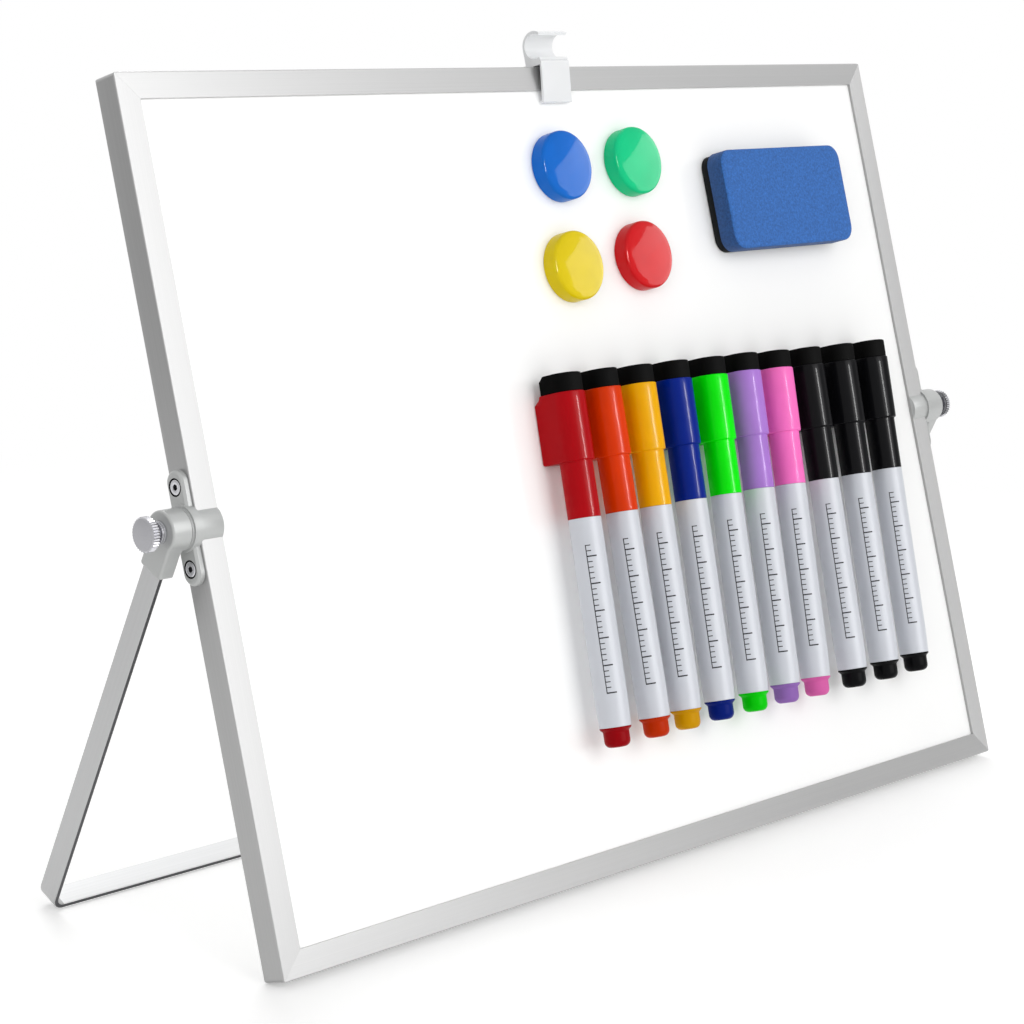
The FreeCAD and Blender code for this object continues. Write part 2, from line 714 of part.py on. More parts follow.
def hub(name, down):
    """An elbow with Z outwards; its boot points to -X or +X, as down says."""
    body = new_body(name)
    start = s.barrel_end + s.hub_gap
    barrel = pad(body, sketch_on(body, name + "_barrel", "XY_Plane",
                                 circles=[(0.0, 0.0, s.barrel_radius)], lift=start), s.hub_end - start)
    boot_floor = s.hub_end - s.boot_thickness
    boot_front = -s.leg_offset - s.boot_width / 2
    boot_back = -s.leg_offset + s.boot_width / 2
    boot = pad(body, sketch_on(body, name + "_boot", "XY_Plane",
                               loops=[rectangle(0.0, boot_front, s.boot_length * down, boot_back)],
                               lift=boot_floor), s.boot_thickness)
    corners = dress(body, "Fillet", boot, s.boot_corner_round,
                    lambda edge, middle: along(edge, Z_AXIS) and near(middle.x, s.boot_length * down))
    blended = dress(body, "Fillet", corners, s.boot_blend,
                    lambda edge, middle: near(middle.z, boot_floor) and isinstance(edge.Curve, Part.Circle)
                    and near(edge.Curve.Radius, s.barrel_radius))
    rounded = dress(body, "Fillet", blended, s.hub_edge_round,
                    lambda edge, middle: near(middle.z, s.hub_end))
    leg_slot = sketch_on(body, name + "_leg_slot", "XY_Plane", loops=[
        rectangle(s.leg_top * down, -s.leg_offset - s.leg_width / 2,
                  (s.boot_length + s.overrun) * down, -s.leg_offset + s.leg_width / 2)],
        lift=s.leg_standoff)
    pocket(body, leg_slot, s.bar_thickness)
    round_holes(body, name + "_spigot_seat",
                [(0.0, 0.0, s.spigot_radius + s.running_clearance)],
                s.spigot_length + s.overrun, s.barrel_end + s.spigot_length + s.hub_gap)
    round_holes(body, name + "_shank_hole", [(0.0, 0.0, s.shank_radius + s.running_clearance)],
                s.hub_end, s.hub_end)
    return body


# thumbscrews and washers, with Z outwards and z = 0 at the hub's face
washer_pitch = s.washer_thickness + s.washer_gap
washer_stack = washer_pitch * 2 + s.washer_gap


def washers(name):
    rings = []
    for index in range(2):
        ring = cut("%s_%d" % (name, index + 1),
                   cylinder("%s_disc_%d" % (name, index + 1), s.washer_radius, s.washer_thickness),
                   cylinder("%s_bore_%d" % (name, index + 1), s.shank_radius + s.running_clearance,
                            s.washer_thickness + s.overrun * 2, z=-s.overrun))
        put_at(ring, z=washer_pitch * index + s.washer_gap)
        rings.append(ring)
    return group(name, rings)


def thumbscrew(name):
    body = new_body(name)
    collar_top = washer_stack + s.collar_step_length
    face = collar_top + s.knob_thickness
    profile = [(0.0, face), (s.knob_radius - s.knob_edge, face), (s.knob_radius, face - s.knob_edge),
               (s.knob_radius, collar_top + s.knob_edge), (s.knob_radius - s.knob_edge, collar_top),
               (s.collar_step_radius, collar_top), (s.collar_step_radius, washer_stack),
               (s.shank_radius, washer_stack), (s.shank_radius, -s.shank_reach), (0.0, -s.shank_reach)]
    revolve(body, sketch_on(body, name + "_profile", "XZ_Plane", loops=[profile]))
    mouth = s.knurl_half_width * (s.knurl_depth + s.overrun) / s.knurl_depth
    groove = sketch_on(body, name + "_groove", "XY_Plane", loops=[
        [(s.knob_radius - s.knurl_depth, 0.0), (s.knob_radius + s.overrun, mouth),
         (s.knob_radius + s.overrun, -mouth)]], lift=face)
    first = pocket(body, groove, s.knob_thickness)
    ring = body.newObject("PartDesign::PolarPattern", name + "_knurl")
    ring.Originals = [first]
    ring.Axis = (groove, ["N_Axis"])
    ring.Angle = 360.0
    ring.Occurrences = int(s.knurl_count)
    ring.setExpression("Occurrences", s.knurl_count.formula)
    body.Tip = ring
    return body


for side in (-1, 1):
    word = "left" if side < 0 else "right"
    pivot_x = half_width * side
    place_on(keep("hub_" + word, hub("hub_" + word, side)), stand_frame, x=pivot_x, turn=side_turn(side))
    face_x = (half_width + s.hub_end) * side
    place_on(keep("washers_" + word, washers("washers_" + word)), stand_frame,
             x=face_x, turn=side_turn(side))
    place_on(keep("thumbscrew_" + word, thumbscrew("thumbscrew_" + word)), stand_frame,
             x=face_x, turn=side_turn(side))


# pen clip, a strip bent over the top rail with a pen ring on it, drawn in the YZ plane
def pen_clip():
    body = new_body("pen_clip")
    top_inner = s.clip_play
    top_outer = s.clip_play + s.clip_wall
    back_inner = s.board_depth + s.clip_play
    back_outer = back_inner + s.clip_wall
    front_inner = -s.clip_play
    bow_inner = front_inner - s.clip_bow
    bow_outer = bow_inner - s.clip_wall
    ring_y = -s.clip_ring_front
    ring_z = s.clip_ring_up
    ring_outer = s.clip_bore_radius + s.clip_wall
    lip_y = ring_y - ring_outer * cosine(s.clip_mouth_bottom)
    lip_z = ring_z - ring_outer * sine(s.clip_mouth_bottom)
    strip = [(back_outer, top_outer), (back_outer, -s.clip_back_drop), (back_inner, -s.clip_back_drop),
             (back_inner, top_inner), (bow_inner, top_inner),
             (front_inner, s.clip_wall - s.clip_drop),
             (front_inner + s.clip_hook, s.clip_wall - s.clip_drop),
             (front_inner + s.clip_hook, -s.clip_drop),
             (front_inner - s.clip_wall, -s.clip_drop),
             (bow_outer, lip_z), (ring_y, lip_z), (ring_y, ring_z),
             (ring_y + ring_outer, ring_z), (ring_y + ring_outer, top_outer)]
    bent = pad(body, sketch_on(body, "clip_strip", "YZ_Plane", loops=[strip]), s.clip_width, middle=True)
    rounded = dress(body, "Fillet", bent, s.clip_wall,
                    lambda edge, middle: along(edge, X_AXIS)
                    and (near(middle.y, back_outer) and near(middle.z, top_outer)
                         or near(middle.y, bow_outer)))
    dress(body, "Fillet", rounded, s.clip_edge_round,
          lambda edge, middle: along(edge, X_AXIS) and near(middle.z, -s.clip_drop))
    ring = sketch_on(body, "clip_ring", "YZ_Plane", circles=[(ring_y, ring_z, ring_outer)])
    pad(body, ring, s.clip_width, middle=True)
    bore = sketch_on(body, "clip_bore", "YZ_Plane", circles=[(ring_y, ring_z, s.clip_bore_radius)])
    pocket(body, bore, s.clip_width + s.overrun * 2, middle=True)
    past = ring_outer + s.clip_bore_radius
    upper_y = ring_y - past * cosine(s.clip_mouth_top)
    upper_z = ring_z + past * sine(s.clip_mouth_top)
    mouth = sketch_on(body, "clip_mouth", "YZ_Plane", loops=[
        [(ring_y, ring_z), (upper_y, upper_z), (ring_y - past, upper_z), (ring_y - past, lip_z),
         (lip_y, lip_z)]])
    pocket(body, mouth, s.clip_width + s.overrun * 2, middle=True)
    return body


place_on(keep("pen_clip", pen_clip()), board_frame, x=s.clip_place, z=s.board_height)

# what the magnets hold on the front sheet, with Z out of the board
sheet_face = s.rail_lip
OUT_OF_BOARD = Rotation(X_AXIS, 90)


def magnet_cap(name):
    """A crowned cap with a round recess for its disc."""
    body = new_body(name)
    crown_radius = (s.magnet_radius * s.magnet_radius / s.magnet_crown + s.magnet_crown) / 2
    share = 0.5
    rise = crown_radius - s.magnet_crown
    top = s.magnet_height + s.magnet_crown
    middle_x = float(s.magnet_radius) * share
    middle_z = math.sqrt(float(crown_radius) ** 2 - middle_x ** 2) - float(rise) + float(s.magnet_height)
    profile = [(0.0, 0.0), (s.magnet_radius, 0.0), (s.magnet_radius, s.magnet_height),
               Arc((0.0, -rise + s.magnet_height), (middle_x, middle_z)), (0.0, top)]
    turned = revolve(body, sketch_on(body, name + "_profile", "XZ_Plane", loops=[profile]))
    dress(body, "Fillet", turned, s.magnet_edge_round,
          lambda edge, middle: near(middle.z, s.magnet_height) and isinstance(edge.Curve, Part.Circle))
    recess = sketch_on(body, name + "_recess", "XY_Plane",
                       circles=[(0.0, 0.0, s.disc_radius + s.seat_play)], lift=s.disc_height)
    pocket(body, recess, s.disc_height + s.overrun)
    return body


for colour, (across_share, up_share) in MAGNET_PLACE_SHARES.items():
    x = s.board_width * across_share
    z = s.board_height * up_share
    name = "magnet_cap_" + colour
    place_on(keep(name, magnet_cap(name)), board_frame, x=x, y=sheet_face - s.contact_gap, z=z,
             turn=OUT_OF_BOARD)
    name = "magnet_disc_" + colour
    place_on(keep(name, cylinder(name, s.disc_radius, s.disc_height)), board_frame,
             x=x, y=sheet_face - s.contact_gap, z=z, turn=OUT_OF_BOARD)


def eraser_slab(name, margin, thickness):
    body = new_body(name)
    x = s.eraser_width / 2 - margin
    y = s.eraser_height / 2 - margin
    slab = sketch_on(body, name + "_outline", "XY_Plane",
                     loops=[rounded_rectangle(-x, -y, x, y, s.eraser_corner - margin)])
    return body, pad(body, slab, thickness)


def place_on_eraser(name, thing, height):
    across_share, up_share = ERASER_PLACE_SHARES
    place_on(keep(name, thing), board_frame, x=s.board_width * across_share,
             y=sheet_face - s.contact_gap - height, z=s.board_height * up_share, turn=OUT_OF_BOARD)


felt, felt_slab = eraser_slab("eraser_felt", s.felt_margin, s.felt_thickness)
place_on_eraser("eraser_felt", felt, 0.0)
foam, foam_slab = eraser_slab("eraser_foam", 0.0, s.foam_thickness)
dress(foam, "Fillet", foam_slab, s.foam_edge_round,
      lambda edge, middle: near(middle.z, s.foam_thickness))
strip_recess = sketch_on(foam, "eraser_strip_recess", "XY_Plane", loops=[
    rectangle(-s.strip_width / 2, -s.strip_height / 2, s.strip_width / 2, s.strip_height / 2)],
    lift=s.strip_thickness)
pocket(foam, strip_recess, s.strip_thickness + s.overrun)
place_on_eraser("eraser_foam", foam, s.felt_thickness)
place_on_eraser("eraser_magnet", box("eraser_magnet", (0.0, 0.0, 0.0),
                                     (s.strip_width, s.strip_height, s.strip_thickness)), s.felt_thickness)
nodes["eraser_magnet"].Placement = nodes["eraser_magnet"].Placement * Placement(
    Vector(-s.strip_width / 2, -s.strip_height / 2, 0), Rotation())

# markers, each with Z up its own axis, Y towards the board and z = 0 at its lower end
barrel_top = s.tail_length + s.barrel_length
fin_bottom = barrel_top + s.cap_round_length
cap_top = fin_bottom + s.cap_fin_length
fin_back = s.marker_axis_height + sheet_face - s.contact_gap
magnet_y = fin_back - s.cap_magnet_thickness
magnet_z = fin_bottom + (s.cap_fin_length - s.cap_fin_chamfer - s.cap_magnet_length) / 2


def fin_outline(half_width_across, back):
    """A half circle in front of the axis and straight sides back to the board."""
    return [(-half_width_across, 0.0), Arc((0.0, 0.0), (0.0, -half_width_across)),
            (half_width_across, 0.0), (half_width_across, back), (-half_width_across, back)]


def cap_body(name):
    body = new_body(name)
    pad(body, sketch_on(body, name + "_round", "XY_Plane", circles=[(0.0, 0.0, s.cap_radius)],
                        lift=barrel_top), s.cap_round_length)
    fin = pad(body, sketch_on(body, name + "_fin", "XY_Plane",
                              loops=[fin_outline(s.cap_half_width, fin_back)], lift=fin_bottom),
              s.cap_fin_length)
    sloped = dress(body, "Chamfer", fin, s.cap_fin_chamfer,
                   lambda edge, middle: along(edge, X_AXIS) and near(middle.y, fin_back)
                   and near(middle.z, cap_top))
    dress(body, "Fillet", sloped, s.cap_fin_round,
          lambda edge, middle: near(middle.z, fin_bottom)
          and math.hypot(middle.x, middle.y) > (s.cap_radius + s.cap_half_width) / 2)
    recess = sketch_on(body, name + "_magnet_seat", "XZ_Plane", loops=[
        rectangle(-s.cap_magnet_width / 2, magnet_z, s.cap_magnet_width / 2,
                  magnet_z + s.cap_magnet_length)], lift=-fin_back - s.overrun)
    pocket(body, recess, s.cap_magnet_thickness + s.overrun, upwards=True)
    bore = sketch_on(body, name + "_bore", "XY_Plane",
                     circles=[(0.0, 0.0, s.neck_radius + s.neck_clearance)],
                     lift=barrel_top + s.cap_bore_depth)
    pocket(body, bore, s.cap_bore_depth + s.overrun)
    return body


def tip_body(name):
    body = new_body(name)
    side = s.cap_half_width - s.tip_inset
    back = fin_back - s.tip_back_inset
    block = pad(body, sketch_on(body, name + "_outline", "XY_Plane",
                                loops=[fin_outline(side, back)], lift=cap_top), s.tip_length)
    tip_top = cap_top + s.tip_length
    sloped = dress(body, "Chamfer", block, s.tip_slope,
                   lambda edge, middle: along(edge, X_AXIS) and near(middle.y, back)
                   and near(middle.z, tip_top))
    dress(body, "Fillet", sloped, s.tip_edge_round, lambda edge, middle: near(middle.z, tip_top))
    return body


def marker_cap(name):
    """The cap, its eraser tip and the magnet in its fin."""
    magnet = box(name + "_magnet", (-s.cap_magnet_width / 2, magnet_y, magnet_z),
                 (s.cap_magnet_width, s.cap_magnet_thickness, s.cap_magnet_length))
    return group(name, [cap_body(name + "_shell"), tip_body(name + "_tip"), magnet])


def marker_barrel(name):
    """The white barrel with its neck, the tail plug, and the nib in its holder."""
    body = new_body(name + "_tube")
    neck_top = barrel_top + s.neck_length
    cone_top = neck_top + s.cone_length
    profile = [(0.0, s.tail_length), (s.barrel_foot_radius, s.tail_length),
               (s.marker_radius, s.tail_length + s.barrel_foot_length), (s.marker_radius, barrel_top),
               (s.neck_radius, barrel_top), (s.neck_radius, neck_top), (s.cone_radius, neck_top),
               (s.cone_tip_radius, cone_top), (0.0, cone_top)]
    revolve(body, sketch_on(body, name + "_profile", "XZ_Plane", loops=[profile]))
    plug = new_body(name + "_plug")
    flare = s.barrel_foot_radius - s.tail_radius
    flare_z = s.tail_length - s.tail_lip - flare
    slant = math.sqrt(0.5)
    plug_top = s.tail_length - s.seat_play
    plug_profile = [(0.0, 0.0), (s.tail_radius, 0.0), (s.tail_radius, flare_z),
                    Arc((s.barrel_foot_radius, flare_z),
                        (s.barrel_foot_radius - flare * slant, flare_z + flare * slant)),
                    (s.barrel_foot_radius, s.tail_length - s.tail_lip),
                    (s.barrel_foot_radius, plug_top), (0.0, plug_top)]
    turned = revolve(plug, sketch_on(plug, name + "_plug_profile", "XZ_Plane", loops=[plug_profile]))
    dress(plug, "Fillet", turned, s.tail_round,
          lambda edge, middle: near(middle.z, 0) and isinstance(edge.Curve, Part.Circle))
    nib = new_body(name + "_nib")
    nib_tip = s.nib_radius / 2
    nib_bottom = cone_top + s.seat_play
    nib_profile = [(0.0, nib_bottom), (s.nib_radius, nib_bottom),
                   (s.nib_radius, cone_top + s.nib_length - nib_tip),
                   (nib_tip, cone_top + s.nib_length), (0.0, cone_top + s.nib_length)]
    revolve(nib, sketch_on(nib, name + "_nib_profile", "XZ_Plane", loops=[nib_profile]))
    return group(name, [body, plug, nib])


marker_middle = (s.tail_length + cap_top + s.tip_length) / 2
for colour, (across_share, up_share, lean) in MARKER_PLACE_SHARES.items():
    for kind, maker in (("cap", marker_cap), ("barrel", marker_barrel)):
        name = "marker_%s_%s" % (kind, colour)
        place_on(keep(name, maker(name)), board_frame, x=s.board_width * across_share,
                 y=-s.marker_axis_height, z=s.board_height * up_share, turn=Rotation(Y_AXIS, lean))
        nodes[name].Placement = nodes[name].Placement * Placement(
            Vector(0, 0, -marker_middle), Rotation())


doc.recompute()
for thing in doc.Objects:
    if "Invalid" in thing.State or "Error" in thing.State:
        raise RuntimeError("%s failed: %s" % (thing.Label, thing.State))
for name, thing in nodes.items():
    if thing.Shape.isNull() or not thing.Shape.isValid():
        raise RuntimeError("%s has no valid shape" % name)

# the object's own frame has its origin in the middle of its foot
whole = Part.makeCompound([thing.Shape for thing in nodes.values()]).optimalBoundingBox(False, False)
middle = (whole.YMin + whole.YMax) / 2
to_foot = Placement(Vector(0, -middle, -whole.ZMin), Rotation())
for thing in nodes.values():
    thing.Placement = to_foot * thing.Placement
doc.recompute()
os.makedirs("parts", exist_ok=True)
for name, thing in nodes.items():
    thing.Shape.exportStep("parts/%s.step" % name)
print("%d sub-parts; %.2f x %.2f x %.2f; pivot axis at Y %.3f, Z %.3f" % (
    len(nodes), whole.XLength, whole.YLength, whole.ZLength, pivot_back - middle, pivot_up - whole.ZMin))
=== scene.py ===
import json
import math

import bmesh
import bpy
from mathutils import Matrix, Quaternion, Vector


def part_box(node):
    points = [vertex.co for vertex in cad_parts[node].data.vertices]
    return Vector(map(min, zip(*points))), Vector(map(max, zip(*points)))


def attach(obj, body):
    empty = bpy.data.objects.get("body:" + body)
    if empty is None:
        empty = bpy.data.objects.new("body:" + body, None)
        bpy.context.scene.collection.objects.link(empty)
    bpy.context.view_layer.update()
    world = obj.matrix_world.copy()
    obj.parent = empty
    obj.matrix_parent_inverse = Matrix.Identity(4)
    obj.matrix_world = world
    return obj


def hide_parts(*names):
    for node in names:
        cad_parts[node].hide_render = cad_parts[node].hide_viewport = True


bl_info = {
    "name": "Desk Whiteboard Easel",
    "version": (1, 0, 0),
    "blender": (4, 5, 0),
    "location": "3D View > Sidebar > Whiteboard",
    "description": "Finishes the pieces of a magnetic desk whiteboard on a folding stand",
    "category": "Object",
}

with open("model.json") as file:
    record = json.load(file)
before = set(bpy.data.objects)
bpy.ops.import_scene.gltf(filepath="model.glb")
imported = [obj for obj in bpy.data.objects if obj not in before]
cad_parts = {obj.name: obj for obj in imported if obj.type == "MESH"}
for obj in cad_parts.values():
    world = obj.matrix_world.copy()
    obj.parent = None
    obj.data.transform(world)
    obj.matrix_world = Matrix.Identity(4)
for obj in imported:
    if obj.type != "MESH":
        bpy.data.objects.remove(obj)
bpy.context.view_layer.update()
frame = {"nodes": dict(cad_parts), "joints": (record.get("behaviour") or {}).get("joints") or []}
joints = {joint["name"]: joint for joint in frame["joints"]}

MM = 0.001
SIDES = ("left", "right")
MAGNETS = ("blue", "green", "yellow", "red")
MARKERS = ("red", "orange", "yellow", "blue", "green", "purple", "pink", "black_1", "black_2", "black_3")

# the board's own directions, from how its magnets lift off; the stand's lean is the photograph's
OUT_OF_BOARD = Vector(joints["magnet_blue_lift"]["axis"]).normalized()
ACROSS = Vector((1.0, 0.0, 0.0))
DOWN_BOARD = OUT_OF_BOARD.cross(ACROSS) * -1.0
BOARD_TURN = (-math.atan2(DOWN_BOARD.y, DOWN_BOARD.z), 0.0, 0.0)
STAND_LEAN = math.radians(24.4)
PIVOT = Vector(joints["stand_fold"]["pos_m"])

# colours of what hardly shows, and the radius in millimetres at which a turned shape closes
FIBREBOARD = (0.45, 0.36, 0.24)
KEY_GREY = (0.04, 0.04, 0.04)
BRASS = (0.7, 0.5, 0.22)
SOOT = (0.02, 0.02, 0.02)
FERRITE = (0.02, 0.02, 0.021)
INK = (0.01, 0.01, 0.012)
POLE = 0.01


# sizes and colours
def length(label, meaning, value):
    return bpy.props.FloatProperty(name=label, description=meaning, default=value, min=0.0, unit="LENGTH",
                                   precision=5)


def count_of(label, meaning, value, low, high):
    return bpy.props.IntProperty(name=label, description=meaning, default=value, min=low, max=high)


def colour(label, meaning, value):
    return bpy.props.FloatVectorProperty(name=label, description=meaning, default=value, size=3,
                                         min=0.0, max=1.0, subtype="COLOR")


class EaselSizes(bpy.types.PropertyGroup):
    metal_edge: length("Metal edge", "Broken edge of rails and bar", 0.12 * MM)
    plastic_edge: length("Plastic edge", "Rounded edge of moulded pieces", 0.14 * MM)
    knurl_teeth: count_of("Knurl teeth", "Teeth round a thumbscrew", 36, 8, 80)
    knob_radius: length("Knob radius", "Thumbscrew's head", 5.95 * MM)
    knob_thickness: length("Knob thickness", "Thumbscrew's head", 2.9 * MM)
    magnet_radius: length("Magnet radius", "Round magnet's cap", 13.2 * MM)
    tick_spacing: length("Tick spacing", "Between the ticks printed on a marker", 2.0 * MM)
    tick_count: count_of("Ticks", "Ticks printed on a marker", 28, 2, 60)


class EaselColours(bpy.types.PropertyGroup):
    aluminium: colour("Aluminium", "Rails", (0.53, 0.53, 0.53))
    # the rails' sideways faces take a darker aluminium than their fronts: painted shade
    rail_side: colour("Rail side", "Outer sides of the left and the right rail", (0.40, 0.40, 0.40))
    # the legs' steel is painted darker and the cross bar's steel painted lighter: painted shade and painted
    # light on one bent bar
    steel: colour("Stand steel", "Stand's legs", (0.49, 0.492, 0.495))
    painted_light_foot_steel: colour("Foot steel", "Stand's cross bar", (0.84, 0.845, 0.85))
    # the stand's narrow edges are darkened: painted shade
    cut_edge: colour("Cut edge", "Narrow edges of the stand's bar", (0.11, 0.11, 0.115))
    silver_plastic: colour("Silver plastic", "Brackets and hubs", (0.50, 0.51, 0.505))
    chrome: colour("Chrome", "Thumbscrews, washers and screws", (0.42, 0.42, 0.44))
    # near black for screw sockets, seat walls, the gaps round screw heads and the head's side between knurl
    # teeth: painted shade
    gap_black: colour("Gap black", "Sockets of the screws and the gaps round them", (0.01, 0.01, 0.011))
    writing_white: colour("Writing white", "Coated sheets", (0.95, 0.95, 0.945))
    clip_white: colour("Clip white", "Pen clip", (0.86, 0.87, 0.88))
    barrel_white: colour("Barrel white", "Markers' barrels", (0.63, 0.65, 0.70))
    foam_blue: colour("Foam blue", "Eraser's foam", (0.022, 0.12, 0.40))
    felt_black: colour("Felt black", "Eraser's felt", (0.012, 0.013, 0.014))
    tip_black: colour("Tip black", "Eraser tips on the caps", (0.002, 0.002, 0.002))
    magnet_blue: colour("Blue magnet", "Round magnet", (0.0, 0.14, 0.60))
    magnet_green: colour("Green magnet", "Round magnet", (0.0, 0.60, 0.24))
    magnet_yellow: colour("Yellow magnet", "Round magnet", (0.76, 0.58, 0.0))
    magnet_red: colour("Red magnet", "Round magnet", (0.66, 0.004, 0.008))
    marker_red: colour("Red marker", "Cap and tail plug", (0.42, 0.0, 0.004))
    marker_orange: colour("Orange marker", "Cap and tail plug", (0.72, 0.04, 0.0))
    marker_yellow: colour("Yellow marker", "Cap and tail plug", (0.86, 0.42, 0.0))
    marker_blue: colour("Blue marker", "Cap and tail plug", (0.0, 0.016, 0.25))
    marker_green: colour("Green marker", "Cap and tail plug", (0.0, 0.88, 0.001))
    marker_purple: colour("Purple marker", "Cap and tail plug", (0.42, 0.20, 0.66))
    marker_pink: colour("Pink marker", "Cap and tail plug", (0.98, 0.18, 0.56))
    marker_black: colour("Black marker", "Cap and tail plug", (0.004, 0.004, 0.005))


# finishes
def add_node(tree, kind, **settings):
    """A node with the named inputs or properties set."""
    made = tree.nodes.new(kind)
    for name, value in settings.items():
        socket = name.replace("_", " ")
        if socket in made.inputs:
            made.inputs[socket].default_value = value
        else:
            setattr(made, name, value)
    return made


def shade(base, share):
    return tuple(min(1.0, channel * share) for channel in base)


class Finish:
    """A material of one Principled shader, whose inputs follow patterns in Object coordinates."""

    def __init__(self, name, base, roughness, **inputs):
        self.material = bpy.data.materials.new(name)
        self.material.use_nodes = True
        self.tree = self.material.node_tree
        self.shader = self.tree.nodes["Principled BSDF"]
        self.base, self.roughness = base, roughness
        self.set(Base_Color=(*base, 1.0), Roughness=roughness, **inputs)

    def set(self, **inputs):
        for name, value in inputs.items():
            self.shader.inputs[name.replace("_", " ")].default_value = value

    def feed(self, output, name):
        self.tree.links.new(output, self.shader.inputs[name])

    def coordinates(self, grain, **mapping):
        """Object coordinates, moved or turned into the piece's own and divided by the size of its grain."""
        source = add_node(self.tree, "ShaderNodeTexCoord")
        scale = grain if isinstance(grain, tuple) else (grain,) * 3
        made = add_node(self.tree, "ShaderNodeMapping", vector_type="TEXTURE", Scale=scale, **mapping)
        self.tree.links.new(source.outputs["Object"], made.inputs["Vector"])
        return made.outputs["Vector"]

    def pattern(self, kind, output, vector, **settings):
        made = add_node(self.tree, kind, **settings)
        self.tree.links.new(vector, made.inputs["Vector"])
        return made.outputs[output]

    def noise(self, vector, scale=1.0, detail=4.0, rough=0.55):
        return self.pattern("ShaderNodeTexNoise", "Fac", vector, Scale=scale, Detail=detail, Roughness=rough)

    def paint(self, factor, dark, light, low=0.3, high=0.7):
        """The base colour from one share of itself to another, by the factor."""
        ramp = add_node(self.tree, "ShaderNodeValToRGB")
        for index, position, share in ((0, low, dark), (1, high, light)):
            ramp.color_ramp.elements[index].position = position
            ramp.color_ramp.elements[index].color = (*shade(self.base, share), 1.0)
        self.tree.links.new(factor, ramp.inputs["Fac"])
        self.feed(ramp.outputs["Color"], "Base Color")

    def roughen(self, factor, less, more):
        """The roughness from a little under its value to a little over it, by the factor."""
        reach = add_node(self.tree, "ShaderNodeMapRange", To_Min=self.roughness - less,
                         To_Max=self.roughness + more)
        self.tree.links.new(factor, reach.inputs["Value"])
        self.feed(reach.outputs["Result"], "Roughness")

    def bump(self, height, strength, distance):
        made = add_node(self.tree, "ShaderNodeBump", Strength=strength, Distance=distance)
        self.tree.links.new(height, made.inputs["Height"])
        self.feed(made.outputs["Normal"], "Normal")


def brushed_metal(name, base, turn, grain, roughness=0.34, contrast=0.05, stretch=0.0, metallic=1.0):
    """Metal with fine brushed lines: grain is the lines' size along each of the piece's own axes."""
    finish = Finish(name, base, roughness, Metallic=metallic)
    if stretch:
        finish.set(Anisotropic=stretch)
        across = add_node(finish.tree, "ShaderNodeTangent", direction_type="UV_MAP", uv_map="grain")
        finish.feed(across.outputs["Tangent"], "Tangent")
    lines = finish.noise(finish.coordinates(grain, Rotation=turn), detail=6.0, rough=0.65)
    finish.paint(lines, 1 - contrast, 1 + contrast)
    finish.roughen(lines, 0.06, 0.1)
    finish.bump(lines, 0.12, 0.02 * MM)
    return finish.material


def moulded_plastic(name, base, roughness=0.4, grain=0.5 * MM, contrast=0.04, coat=0.0, depth=0.02 * MM,
                    metallic=0.0, gloss=0.5):
    """Moulded plastic with a faint texture and a slow drift of tone."""
    finish = Finish(name, base, roughness, Metallic=metallic, Coat_Weight=coat, Coat_Roughness=0.06,
                    Specular_IOR_Level=gloss)
    fine = finish.noise(finish.coordinates(grain), detail=3.0)
    slow = finish.noise(finish.coordinates(14 * MM), detail=2.0)
    finish.paint(slow, 1 - contrast, 1 + contrast)
    finish.roughen(fine, 0.05, 0.05)
    finish.bump(fine, 0.15, depth)
    return finish.material


def turned_chrome(name, base, roughness=0.22):
    """Bright turned metal with fine rings round the pivot axis."""
    finish = Finish(name, base, roughness, Metallic=1.0)
    vector = finish.coordinates(MM, Location=(0.0, PIVOT.y, PIVOT.z))
    rings = finish.pattern("ShaderNodeTexWave", "Fac", vector, wave_type="RINGS", rings_direction="X",
                           Scale=2.2, Distortion=0.6, Detail=2.0)
    finish.paint(rings, 0.93, 1.05, 0.1, 0.9)
    finish.roughen(rings, 0.05, 0.08)
    finish.bump(rings, 0.1, 0.02 * MM)
    return finish.material


def coated_sheet(name, base):
    """Gloss white lacquer on steel, with a faint orange peel."""
    finish = Finish(name, base, 0.2, Coat_Weight=0.5, Coat_Roughness=0.05)
    peel = finish.noise(finish.coordinates(4 * MM), detail=2.0)
    cloud = finish.noise(finish.coordinates(90 * MM), detail=2.0)
    finish.paint(cloud, 0.985, 1.01)
    finish.roughen(peel, 0.03, 0.05)
    finish.bump(peel, 0.08, 0.02 * MM)
    return finish.material


def cell_foam(name, base):
    """Fine closed-cell foam with light and dark specks."""
    finish = Finish(name, base, 0.85, Sheen_Weight=0.05)
    vector = finish.coordinates(MM)
    cells = finish.pattern("ShaderNodeTexVoronoi", "Distance", vector, Scale=1.6, Randomness=1.0)
    finish.paint(finish.noise(vector, scale=1.1, detail=5.0, rough=0.75), 0.72, 1.45, 0.34, 0.68)
    finish.bump(cells, 0.35, 0.12 * MM)
    return finish.material


def pressed_felt(name, base):
    """Matt felt of fine fibres that lie one way."""
    finish = Finish(name, base, 0.95, Sheen_Weight=0.05, Specular_IOR_Level=0.1)
    vector = finish.coordinates((0.9 * MM, 0.16 * MM, 0.16 * MM), Rotation=(0.5, 0.3, 0.2))
    fibres = finish.noise(vector, detail=6.0, rough=0.8)
    finish.paint(fibres, 0.4, 1.8)
    finish.bump(fibres, 0.7, 0.2 * MM)
    return finish.material


def plain_board(name, base, roughness=0.8):
    """Fibreboard, sintered magnet or rubber: matt and grainy."""
    finish = Finish(name, base, roughness)
    grain = finish.noise(finish.coordinates(0.8 * MM), detail=5.0)
    finish.paint(grain, 0.8, 1.2)
    finish.bump(grain, 0.3, 0.05 * MM)
    return finish.material


